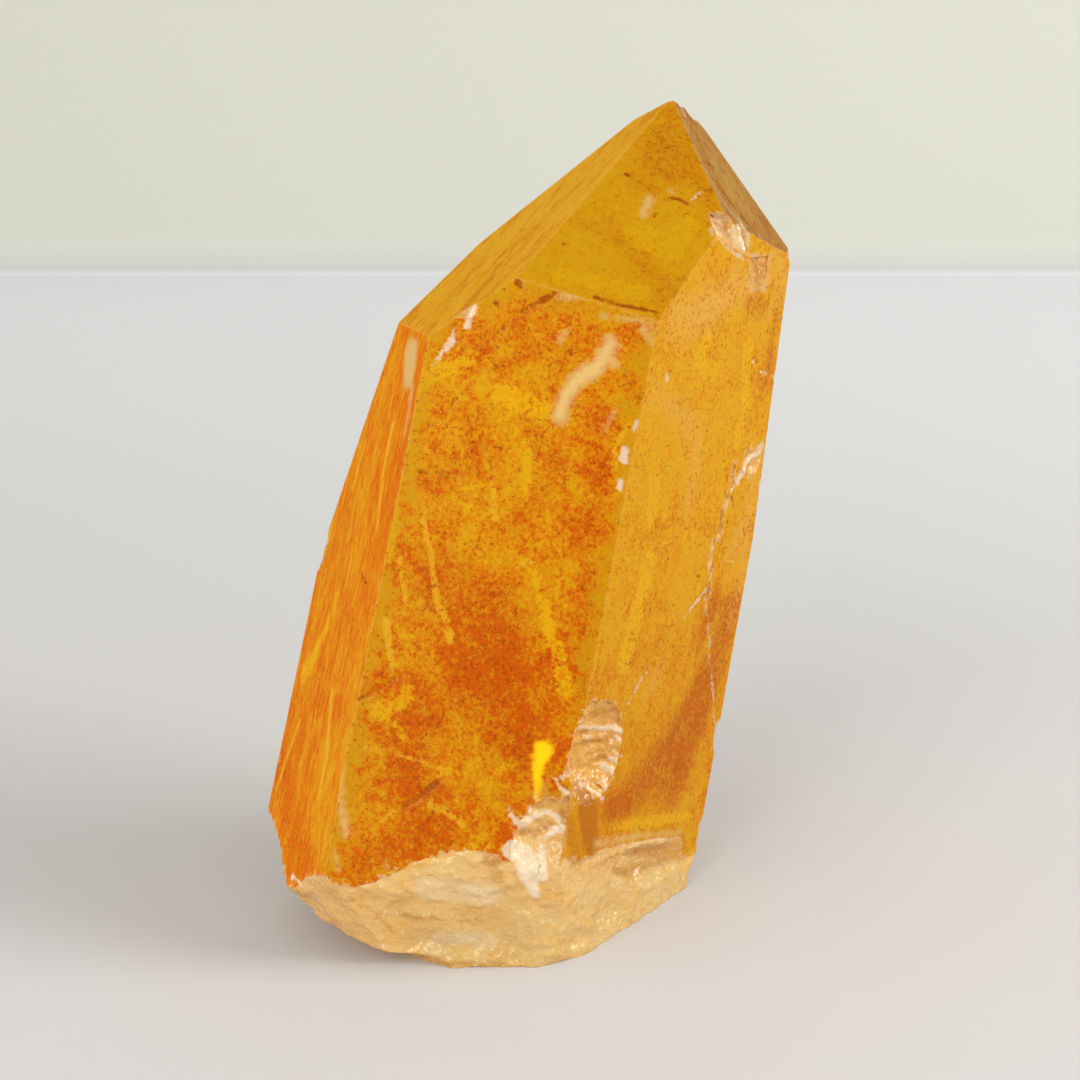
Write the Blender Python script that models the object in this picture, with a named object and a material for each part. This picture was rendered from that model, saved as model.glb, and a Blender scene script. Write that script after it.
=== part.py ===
"""Golden healer quartz point: one crystal, broken off its matrix, standing on its broken foot.

The crystal is a single solid. Its flat faces are cut from a block in the crystal's own frame,
where the long axis is Z and the origin lies in the foot. The crystal is then leaned the way it
stands, its foot is broken away by a rough block, and flakes and ledges are taken out of it.
Sizes are in millimetres and angles in degrees until the shapes are made into objects.
"""
import math
import random
from typing import NamedTuple

import bmesh
import bpy
from mathutils import Matrix, Vector, noise

MM = 0.001
NODE = "quartz_point"
GOLD = (0.80, 0.36, 0.03, 1.0)

# How the crystal stands: its axis leans to the right (+X) and to the back (+Y).
LEAN_RIGHT = 10.25
LEAN_BACK = 12.0

# The block that the crystal and its broken foot are cut from.
BLOCK_WIDTH = 90.0
BLOCK_HEIGHT = 130.0
BLOCK_BELOW = 30.0
CUT_SNAP = 1e-6


class Face(NamedTuple):
    """A flat face: how far its outward normal turns from the front (-Y) towards the right (+X),
    how far the normal tips up, and how far the face lies from the origin."""

    name: str
    turn: float
    lean: float
    reach: float


PRISM_FACES = (
    Face("front", -3.5, 1.5, 19.3),
    Face("right front", 58.0, 0.5, 16.2),
    Face("right back", 120.0, 0.0, 22.9),
    Face("right back shoulder", 120.0, 5.0, 26.7),
    Face("back", 180.0, 1.0, 18.9),
    Face("left back", -120.0, 1.5, 19.6),
    Face("left front", -63.0, 1.5, 22.7),
    Face("left back shoulder", -120.0, 16.0, 27.7),
)

POINT_FACES = (
    Face("front slope", 1.5, 36.5, 53.3),
    Face("right front slope", 62.0, 41.0, 62.0),
    Face("right back slope", 120.5, 43.3, 67.0),
    Face("back slope", 180.0, 38.0, 56.6),
    Face("left back slope", -118.5, 31.5, 44.3),
    Face("left front slope", -57.5, 41.0, 55.5),
    Face("left back nick", -95.0, 27.3, 44.1),
    Face("tip", -131.0, 52.7, 68.3),
)

# The broken foot, in the standing frame: origin on the ground, Z up.
FOOT_FACES = (
    Face("front break", 1.0, -10.0, 14.9),
    Face("front left break", -41.0, -26.0, 15.6),
    Face("left break", -88.0, -25.0, 15.6),
    Face("left underside", -77.0, -71.0, 3.0),
    Face("right break", 54.6, -8.0, 16.1),
    Face("right back break", 124.0, -24.0, 20.4),
    Face("back break", 178.0, -32.0, 14.8),
    Face("left back break", -132.0, -38.0, 11.6),
)

# Roughness of the broken foot: shell-shaped bowls, ripples and grain, driven in towards a point.
FOOT_CELL = 1.5
FOOT_TOP = 24.0
FOOT_SNAP = 0.2
HEART_HEIGHT = 20.0
BOWL_SIZE = 9.0
BOWL_DEPTH = 2.2
RIPPLE_PITCH = 2.6
RIPPLE_DEPTH = 0.16
GRAIN_SIZE = 2.4
GRAIN_DEPTH = 0.35


class Flake(NamedTuple):
    """A shell-shaped scar in the crystal's own frame: the point of the surface that it is centred
    on, the turn and lean of the direction it was struck from, the half axes of the rounded tool
    across, along and outwards, and its depth below the surface."""

    name: str
    place: tuple
    turn: float
    lean: float
    half_axes: tuple
    depth: float


FLAKES = (
    Flake("front edge scoop", (9.4, -15.2, 21.4), 50.0, 0.0, (7.4, 8.2, 7.0), 1.7),
    Flake("scoop upper bite", (8.9, -17.4, 25.6), 42.0, 10.0, (4.0, 2.2, 3.0), 0.8),
    Flake("front scar", (4.9, -19.3, 10.0), 2.0, 6.0, (4.6, 7.4, 4.6), 1.1),
    Flake("front scar spur", (7.2, -19.4, 15.2), 8.0, 0.0, (2.4, 3.2, 2.6), 0.6),
    Flake("right foot scoop", (16.4, -4.0, 8.6), 58.0, -4.0, (17.0, 5.0, 8.0), 0.9),
    Flake("feather scar", (20.4, 2.8, 52.6), 66.0, 4.0, (4.6, 3.4, 4.0), 0.5),
    Flake("right edge nick", (22.6, 6.4, 50.2), 92.0, 0.0, (1.4, 1.6, 1.6), 0.3),
    Flake("right edge low nick", (22.6, 6.0, 22.3), 92.0, 0.0, (1.6, 2.6, 2.0), 0.35),
    Flake("left edge nick", (-22.8, -3.1, 35.6), -92.0, 0.0, (1.8, 3.4, 2.0), 0.35),
    Flake("left slope nick", (-16.4, -5.9, 64.9), -90.0, 36.0, (1.6, 2.4, 2.0), 0.35),
    Flake("tip scar", (7.4, 2.6, 88.4), 70.0, 56.0, (1.8, 2.6, 2.0), 0.4),
    Flake("right corner scar", (21.0, 4.2, 75.0), 92.0, 30.0, (1.8, 2.2, 2.0), 0.25),
    Flake("front left edge scar", (-11.4, -17.2, 62.4), -24.0, 22.0, (3.6, 1.8, 2.4), 0.4),
    Flake("back edge scar", (9.5, 18.9, 26.0), 152.0, 0.0, (3.6, 6.4, 4.0), 1.2),
    Flake("back scar", (-6.0, 18.8, 14.0), 182.0, -6.0, (7.0, 5.0, 5.0), 1.1),
    Flake("left back edge scar", (-11.5, 18.4, 47.0), -150.0, 4.0, (2.8, 5.0, 3.0), 0.8),
)
FLAKE_ROUGHNESS = 0.07
FLAKE_GRAIN = 0.9
FLAKE_FINENESS = 4
PIT_FINENESS = 2


class Ledge(NamedTuple):
    """A flat step in the crystal's own frame: a point of the face, the face's turn and lean, the
    twist of the step on the face, its size across and along, and its depth."""

    name: str
    place: tuple
    turn: float
    lean: float
    twist: float
    size: tuple
    depth: float


LEDGES = (
    Ledge("shoulder step", (14.4, -7.6, 74.6), 60.0, 22.0, 24.0, (6.2, 4.0), 0.75),
    Ledge("shoulder upper step", (12.4, -9.2, 76.0), 52.0, 30.0, -16.0, (2.6, 3.0), 0.7),
    Ledge("shoulder lower step", (17.6, -1.6, 72.4), 58.0, 6.0, 12.0, (4.0, 4.0), 0.35),
    Ledge("back growth step", (0.0, 18.2, 40.0), 180.0, 1.0, 3.0, (60.0, 9.0), 0.35),
    Ledge("back growth step low", (8.0, 18.6, 24.0), 180.0, 1.0, -2.0, (22.0, 6.0), 0.3),
    Ledge("right back growth step", (21.0, 12.0, 34.0), 120.0, 2.0, 2.0, (50.0, 7.0), 0.3),
    Ledge("left back growth step", (-19.0, 8.0, 22.0), -120.0, 1.5, -3.0, (50.0, 5.0), 0.3),
)
LEDGE_HEADROOM = 3.0

# The open crack that runs down the right front face, as a chain of small pits.
CRACK_TOP = (18.8, 0.3, 51.5)
CRACK_FOOT = (18.0, -1.2, 38.4)
CRACK_FACE = PRISM_FACES[1]
CRACK_PITS = 9
CRACK_WANDER = 0.7
CRACK_SIZES = (0.7, 1.2)
CRACK_PIT = (0.55, 1.15, 0.9)
CRACK_DEPTH = 0.4
SEED = 11

# What counts as one flat face once the solid is finished, in degrees and millimetres.
FLAT_ANGLE = 0.3
WELD = 0.002


def clear_scene():
    """Remove every object that the file opened with."""
    for obj in list(bpy.data.objects):
        bpy.data.objects.remove(obj, do_unlink=True)


def new_collection(name):
    """Make a collection under the scene's own."""
    collection = bpy.data.collections.new(name)
    bpy.context.scene.collection.children.link(collection)
    return collection


def quartz():
    """The finish of the whole crystal: clear quartz with a golden iron stain."""
    material = bpy.data.materials.new("golden_quartz")
    material.use_nodes = True
    shader = material.node_tree.nodes["Principled BSDF"]
    shader.inputs["Base Color"].default_value = GOLD
    shader.inputs["Roughness"].default_value = 0.12
    shader.inputs["Metallic"].default_value = 0.0
    shader.inputs["IOR"].default_value = 1.54
    shader.inputs["Transmission Weight"].default_value = 0.6
    material.diffuse_color = GOLD
    return material


def outward(turn, lean):
    """Unit normal of a face from its turn and lean."""
    around = math.radians(turn)
    up = math.radians(lean)
    return Vector((math.cos(up) * math.sin(around), -math.cos(up) * math.cos(around), math.sin(up)))


def facing(turn, lean):
    """Rotation that lays X across a face, Y up along it and Z out of it."""
    around = Matrix.Rotation(math.radians(turn), 4, "Z")
    up = Matrix.Rotation(math.radians(90.0 - lean), 4, "X")
    return around @ up


def standing():
    """Rotation from the crystal's own frame to the way that it stands."""
    right = Matrix.Rotation(math.radians(LEAN_RIGHT), 4, "Y")
    back = Matrix.Rotation(math.radians(-LEAN_BACK), 4, "X")
    return back @ right


def to_object(bm, name, collection):
    """Make an object in metres from a mesh in millimetres."""
    bmesh.ops.scale(bm, vec=(MM, MM, MM), verts=bm.verts)
    bmesh.ops.recalc_face_normals(bm, faces=bm.faces)
    mesh = bpy.data.meshes.new(name)
    bm.to_mesh(mesh)
    bm.free()
    obj = bpy.data.objects.new(name, mesh)
    collection.objects.link(obj)
    return obj


def block(low):
    """A block of mineral centred on the axis, from the height low up."""
    bm = bmesh.new()
    bmesh.ops.create_cube(bm, size=1.0)
    bmesh.ops.scale(bm, vec=(BLOCK_WIDTH, BLOCK_WIDTH, BLOCK_HEIGHT), verts=bm.verts)
    bmesh.ops.translate(bm, vec=(0.0, 0.0, BLOCK_HEIGHT / 2 + low), verts=bm.verts)
    return bm


def cut_faces(bm, faces):
    """Cut away what lies beyond each face, and close each cut with one flat polygon."""
    for face in faces:
        normal = outward(face.turn, face.lean)
        cut = bmesh.ops.bisect_plane(
            bm,
            geom=bm.verts[:] + bm.edges[:] + bm.faces[:],
            dist=CUT_SNAP,
            plane_co=normal * face.reach,
            plane_no=normal,
            clear_outer=True,
        )
        rim = [item for item in cut["geom_cut"] if isinstance(item, bmesh.types.BMEdge)]
        if rim:
            bmesh.ops.edgeloop_fill(bm, edges=rim)


def score(bm, axis, first, last):
    """Divide all faces along evenly spaced planes square to one axis."""
    normal = Vector((0.0, 0.0, 0.0))
    normal[axis] = 1.0
    for line in range(int((last - first) / FOOT_CELL) + 1):
        bmesh.ops.bisect_plane(
            bm,
            geom=bm.verts[:] + bm.edges[:] + bm.faces[:],
            dist=FOOT_SNAP,
            plane_co=normal * (first + line * FOOT_CELL),
            plane_no=normal,
        )


def break_depth(point):
    """Depth of the broken surface at a point."""
    bowl = BOWL_DEPTH * abs(noise.noise(point / BOWL_SIZE))
    ripple = RIPPLE_DEPTH * (1.0 + math.sin(point.length * math.tau / RIPPLE_PITCH))
    grain = GRAIN_DEPTH * abs(noise.noise(point / GRAIN_SIZE))
    return (bowl + ripple + grain) * (1.0 - point.z / FOOT_TOP)


def rough_block():
    """The block whose underside is the broken foot. Its lowest face stays flat to stand on."""
    bm = block(0.0)
    cut_faces(bm, FOOT_FACES)
    edge = BLOCK_WIDTH / 2 - FOOT_CELL
    score(bm, 0, -edge, edge)
    score(bm, 1, -edge, edge)
    score(bm, 2, FOOT_CELL, FOOT_TOP)
    heart = Vector((0.0, 0.0, HEART_HEIGHT))
    for vert in bm.verts:
        if FOOT_CELL / 4 < vert.co.z < FOOT_TOP:
            vert.co += (heart - vert.co).normalized() * break_depth(vert.co)
    bmesh.ops.triangulate(bm, faces=[face for face in bm.faces if len(face.verts) > 3])
    return bm


def flake_tool(flake, fineness):
    """A lumpy ellipsoid that leaves one shell-shaped scar."""
    bm = bmesh.new()
    bmesh.ops.create_icosphere(bm, subdivisions=fineness, radius=1.0)
    shift = Vector(flake.place)
    for vert in bm.verts:
        vert.co *= 1.0 + FLAKE_ROUGHNESS * noise.noise(vert.co / FLAKE_GRAIN + shift)
    bmesh.ops.scale(bm, vec=flake.half_axes, verts=bm.verts)
    out = outward(flake.turn, flake.lean)
    centre = Vector(flake.place) + out * (flake.half_axes[2] - flake.depth)
    matrix = standing() @ Matrix.Translation(centre) @ facing(flake.turn, flake.lean)
    bmesh.ops.transform(bm, matrix=matrix, verts=bm.verts)
    return bm


def ledge_tool(ledge):
    """A block that leaves one flat step."""
    bm = bmesh.new()
    bmesh.ops.create_cube(bm, size=1.0)
    height = ledge.depth + LEDGE_HEADROOM
    bmesh.ops.scale(bm, vec=(ledge.size[0], ledge.size[1], height), verts=bm.verts)
    out = outward(ledge.turn, ledge.lean)
    centre = Vector(ledge.place) + out * (height / 2 - ledge.depth)
    twist = Matrix.Rotation(math.radians(ledge.twist), 4, "Z")
    matrix = standing() @ Matrix.Translation(centre) @ facing(ledge.turn, ledge.lean) @ twist
    bmesh.ops.transform(bm, matrix=matrix, verts=bm.verts)
    return bm


def crack_pits():
    """Small flakes strung along the open crack, wandering a little to either side."""
    dice = random.Random(SEED)
    top = Vector(CRACK_TOP)
    foot = Vector(CRACK_FOOT)
    across = facing(CRACK_FACE.turn, CRACK_FACE.lean).to_3x3() @ Vector((1.0, 0.0, 0.0))
    pits = []
    for index in range(CRACK_PITS):
        place = top.lerp(foot, index / (CRACK_PITS - 1))
        place += across * dice.uniform(-CRACK_WANDER, CRACK_WANDER)
        size = dice.uniform(*CRACK_SIZES)
        half_axes = tuple(size * half for half in CRACK_PIT)
        name = f"crack pit {index + 1}"
        depth = CRACK_DEPTH * size
        pits.append(Flake(name, tuple(place), CRACK_FACE.turn, CRACK_FACE.lean, half_axes, depth))
    return pits


def take(crystal, tool, operation):
    """Cut the crystal with a tool, which stays in the file as a hidden guide."""
    tool.hide_render = True
    tool.display_type = "WIRE"
    cut = crystal.modifiers.new(tool.name, "BOOLEAN")
    cut.operation = operation
    cut.solver = "EXACT"
    cut.object = tool


def settle(crystal):
    """Make the cuts final, merge coplanar pieces and set the origin under the crystal's middle."""
    depsgraph = bpy.context.evaluated_depsgraph_get()
    mesh = bpy.data.meshes.new_from_object(crystal.evaluated_get(depsgraph))
    crystal.modifiers.clear()
    crystal.data = mesh
    bm = bmesh.new()
    bm.from_mesh(mesh)
    bmesh.ops.remove_doubles(bm, verts=bm.verts, dist=WELD * MM)
    flat = math.radians(FLAT_ANGLE)
    bmesh.ops.dissolve_limit(bm, angle_limit=flat, verts=bm.verts, edges=bm.edges)
    bmesh.ops.triangulate(bm, faces=bm.faces)
    low = [min(vert.co[axis] for vert in bm.verts) for axis in range(3)]
    high = [max(vert.co[axis] for vert in bm.verts) for axis in range(3)]
    middle = Vector(((low[0] + high[0]) / 2, (low[1] + high[1]) / 2, low[2]))
    bmesh.ops.translate(bm, vec=-middle, verts=bm.verts)
    bm.to_mesh(mesh)
    bm.free()


def main():
    """Build the crystal."""
    clear_scene()
    part = new_collection("golden_healer_quartz")
    tools = new_collection("cutters")
    bm = block(-BLOCK_BELOW)
    cut_faces(bm, PRISM_FACES + POINT_FACES)
    bmesh.ops.transform(bm, matrix=standing(), verts=bm.verts)
    crystal = to_object(bm, NODE, part)
    crystal.data.materials.append(quartz())
    take(crystal, to_object(rough_block(), "broken foot", tools), "INTERSECT")
    for flake in FLAKES:
        take(crystal, to_object(flake_tool(flake, FLAKE_FINENESS), flake.name, tools), "DIFFERENCE")
    for ledge in LEDGES:
        take(crystal, to_object(ledge_tool(ledge), ledge.name, tools), "DIFFERENCE")
    for pit in crack_pits():
        take(crystal, to_object(flake_tool(pit, PIT_FINENESS), pit.name, tools), "DIFFERENCE")
    settle(crystal)


main()
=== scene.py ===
"""Looks of the golden healer quartz point: one clear crystal under a golden iron stain.

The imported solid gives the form. This script chips its edges, cuts its flat faces into a fine grid,
roughens its broken foot, notes where each mark lies and dresses every kind of face in its own
finish. Lengths are in millimetres in the crystal's own frame, whose Z is the crystal's long axis,
and turn into metres only when a mesh, lamp or camera is made.
"""
import logging
import math
import random
from collections.abc import Iterator
from dataclasses import dataclass, fields, replace
from enum import Enum
from functools import cached_property

import bmesh
import bpy
import numpy as np
from mathutils import Matrix, Vector, kdtree, noise


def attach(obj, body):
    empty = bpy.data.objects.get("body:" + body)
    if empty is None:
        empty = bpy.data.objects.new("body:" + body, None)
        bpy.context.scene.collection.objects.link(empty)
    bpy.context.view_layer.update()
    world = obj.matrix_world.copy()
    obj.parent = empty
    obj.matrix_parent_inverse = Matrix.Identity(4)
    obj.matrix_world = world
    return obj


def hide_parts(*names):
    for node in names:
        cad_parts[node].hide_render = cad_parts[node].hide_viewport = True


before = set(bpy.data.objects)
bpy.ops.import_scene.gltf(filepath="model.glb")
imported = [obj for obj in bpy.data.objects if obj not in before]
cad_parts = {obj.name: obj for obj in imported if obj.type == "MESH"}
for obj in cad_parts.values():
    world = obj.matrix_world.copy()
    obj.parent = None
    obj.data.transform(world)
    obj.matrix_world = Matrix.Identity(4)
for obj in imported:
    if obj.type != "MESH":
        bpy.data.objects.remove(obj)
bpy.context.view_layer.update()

MM = 0.001
UPWARD = (0.0, 0.0, 1.0)
NODE = "quartz_point"
PIECE = "golden_quartz_point"

logging.basicConfig(level=logging.INFO, format="%(message)s")
log = logging.getLogger("quartz")


# ---------------------------------------------------------------- the crystal's own frame


@dataclass(frozen=True)
class Stance:
    """How the crystal's own frame, in millimetres, stands in the row frame."""

    lean_right: float = 10.25
    lean_back: float = 12.0
    middle: tuple[float, float, float] = (5.810, 7.232, 0.0)

    def rotation(self) -> Matrix:
        """Rotation from the crystal's frame to the row frame.

        Returns:
            The matrix, which leans right first and then back.
        """
        right = Matrix.Rotation(math.radians(self.lean_right), 3, "Y")
        back = Matrix.Rotation(math.radians(-self.lean_back), 3, "X")
        return back @ right

    def to_row(self, place: Vector) -> Vector:
        """A point of the crystal's frame in metres in the row frame."""
        return (self.rotation() @ Vector(place) - Vector(self.middle)) * MM

    def to_crystal(self, place: Vector) -> Vector:
        """A point of the row frame, in metres, in the crystal's frame."""
        return self.rotation().transposed() @ (Vector(place) / MM + Vector(self.middle))


STANCE = Stance()


class Zone(Enum):
    """The kinds of surface, in the order of the piece's material slots."""

    FRONT = 0
    LEFT = 1
    RIGHT = 2
    FRONT_SLOPE = 3
    LEFT_SLOPE = 4
    RIGHT_SLOPE = 5
    BACK = 6
    BROKEN = 7


@dataclass(frozen=True)
class Facet:
    """A flat crystal face: its zone, and the turn and lean of its normal in degrees."""

    zone: Zone
    turn: float
    lean: float

    def normal(self) -> Vector:
        """The outward normal in the crystal's frame.

        Returns:
            A unit vector.
        """
        around = math.radians(self.turn)
        up = math.radians(self.lean)
        flat = math.cos(up)
        return Vector((flat * math.sin(around), -flat * math.cos(around), math.sin(up)))

    def axes(self) -> tuple[Vector, Vector, Vector]:
        """Unit vectors across the face, up along it and out of it.

        Returns:
            Three unit vectors of the crystal's frame.
        """
        around = math.radians(self.turn)
        across = Vector((math.cos(around), math.sin(around), 0.0))
        out = self.normal()
        return across, out.cross(across), out

    @cached_property
    def row_normal(self) -> Vector:
        """The outward normal in the row frame."""
        return STANCE.rotation() @ self.normal()

    def holds(self, face: bmesh.types.BMFace) -> bool:
        """True for a face of the mesh that lies flat on this one."""
        return face.normal.dot(self.row_normal) > FACET_LIMIT


FACETS = (
    Facet(Zone.FRONT, -3.5, 1.5),
    Facet(Zone.RIGHT, 58.0, 0.5),
    Facet(Zone.BACK, 120.0, 0.0),
    Facet(Zone.BACK, 120.0, 5.0),
    Facet(Zone.BACK, 180.0, 1.0),
    Facet(Zone.BACK, -120.0, 1.5),
    Facet(Zone.LEFT, -63.0, 1.5),
    Facet(Zone.BACK, -120.0, 16.0),
    Facet(Zone.FRONT_SLOPE, 1.5, 36.5),
    Facet(Zone.RIGHT_SLOPE, 62.0, 41.0),
    Facet(Zone.BACK, 120.5, 43.3),
    Facet(Zone.BACK, 180.0, 38.0),
    Facet(Zone.BACK, -118.5, 31.5),
    Facet(Zone.LEFT_SLOPE, -57.5, 41.0),
    Facet(Zone.LEFT_SLOPE, -95.0, 27.3),
    Facet(Zone.BACK, -131.0, 52.7),
)
# The first facet of each zone, which is its main one.
MAIN_FACET = {facet.zone: facet for facet in reversed(FACETS)}
# How far a face of the mesh may turn from a facet and count as lying on it, in degrees.
FACET_SNAP = 0.6
FACET_LIMIT = math.cos(math.radians(FACET_SNAP))


# ---------------------------------------------------------------- meshes


def put(name: str, data: bpy.types.ID) -> bpy.types.Object:
    """A new object in the scene.

    Args:
        name: Its name.
        data: Its mesh, lamp or camera.

    Returns:
        The object.
    """
    made = bpy.data.objects.new(name, data)
    bpy.context.scene.collection.objects.link(made)
    return made


def put_mesh(name: str, bm: bmesh.types.BMesh) -> bpy.types.Object:
    """A new object in the scene with that mesh, which is then closed.

    Args:
        name: The name of the object and of its mesh.
        bm: The mesh, which can't be used afterwards.

    Returns:
        The object.
    """
    mesh = bpy.data.meshes.new(name)
    bm.to_mesh(mesh)
    bm.free()
    return put(name, mesh)


def is_broken(face: bmesh.types.BMFace) -> bool:
    """True for a face of the broken surface."""
    return face.material_index == Zone.BROKEN.value


def is_on_broken(item: bmesh.types.BMVert | bmesh.types.BMEdge) -> bool:
    """True for a vertex or an edge of a broken face."""
    return any(is_broken(face) for face in item.link_faces)


# How near a vertex may lie to a cut and count as on it, in millimetres.
CUT_SNAP = 0.01


def cut_through(bm: bmesh.types.BMesh, faces: list, place: Vector, normal: Vector) -> set:
    """Cut faces along a plane, whose point and normal are in the crystal's frame.

    Args:
        bm: The mesh.
        faces: Its faces to cut.
        place: A point of the plane.
        normal: The plane's normal.

    Returns:
        The faces that they have become.
    """
    borders = {item for face in faces for item in (*face.verts, *face.edges)}
    cut = bmesh.ops.bisect_plane(
        bm, geom=list(borders) + faces, dist=CUT_SNAP * MM,
        plane_co=STANCE.to_row(place), plane_no=STANCE.rotation() @ normal)
    whole = {face for face in faces if face.is_valid}
    return whole | {item for item in cut["geom"] if isinstance(item, bmesh.types.BMFace)}


# ---------------------------------------------------------------- marks on the faces


# What the mesh notes beside the marks: how far a broken surface and a sharp edge are, and how far a
# vertex stands out. FAR is the greatest distance that it notes.
RIM = "rim"
EDGE = "edge"
RELIEF = "relief"
FAR = 4.0
NOT_ZERO = 1e-6


class Ink(Enum):
    """What a mark is made of, by the name of the value that the mesh carries for it."""

    BARE = "bare"
    # Frost; on the scoop and the scars some of it is painted highlights and glints.
    FROST = "frost"
    RUST = "rust"
    YOLK = "yolk"
    SEAM = "seam"
    DEEP = "deep"
    # Peach haze: frosting, and on the right face also a painted sheen of the window's reflection.
    HAZE = "haze"
    # A painted glow: a bright patch that emits, as if light shone through the crystal there.
    GLOW = "glow"
    # Amber: stain, and in the scoop also painted shade.
    AMBER = "amber"
    # Umber: dark marks, which paint shade in a hollow and on a shadowed facet.
    UMBER = "umber"


@dataclass(frozen=True)
class Stroke:
    """A mark on a face: a bent line in the face's own millimetres, across and up, and its half
    width at the first and at the last point."""

    zone: Zone
    ink: Ink
    width: tuple[float, float]
    line: tuple

    def distance(self, across: np.ndarray, up: np.ndarray) -> np.ndarray:
        """Distance from the mark's rim, less than 0 inside it.

        Args:
            across: Places across the face.
            up: The same places' heights on it.

        Returns:
            The distance at each place, FAR at the most.
        """
        nearest = np.full(across.shape, FAR)
        pieces = len(self.line) - 1
        for index, (start, end) in enumerate(zip(self.line, self.line[1:])):
            run, rise = end[0] - start[0], end[1] - start[1]
            square = max(run * run + rise * rise, NOT_ZERO)
            share = ((across - start[0]) * run + (up - start[1]) * rise) / square
            share = np.clip(share, 0.0, 1.0)
            gap = np.hypot(across - start[0] - share * run, up - start[1] - share * rise)
            along = (index + share) / pieces
            half = self.width[0] + (self.width[1] - self.width[0]) * along
            nearest = np.minimum(nearest, gap - half)
        return nearest


def strokes(zone: Zone, ink: Ink, rows: dict) -> Iterator[Stroke]:
    """Strokes of one ink on one kind of face.

    Args:
        zone: The kind of face.
        ink: The ink.
        rows: By name, the half widths at both ends, then the line's points.

    Yields:
        A stroke for each row.
    """
    for first, last, *line in rows.values():
        yield Stroke(zone, ink, (first, last), tuple(line))


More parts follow.
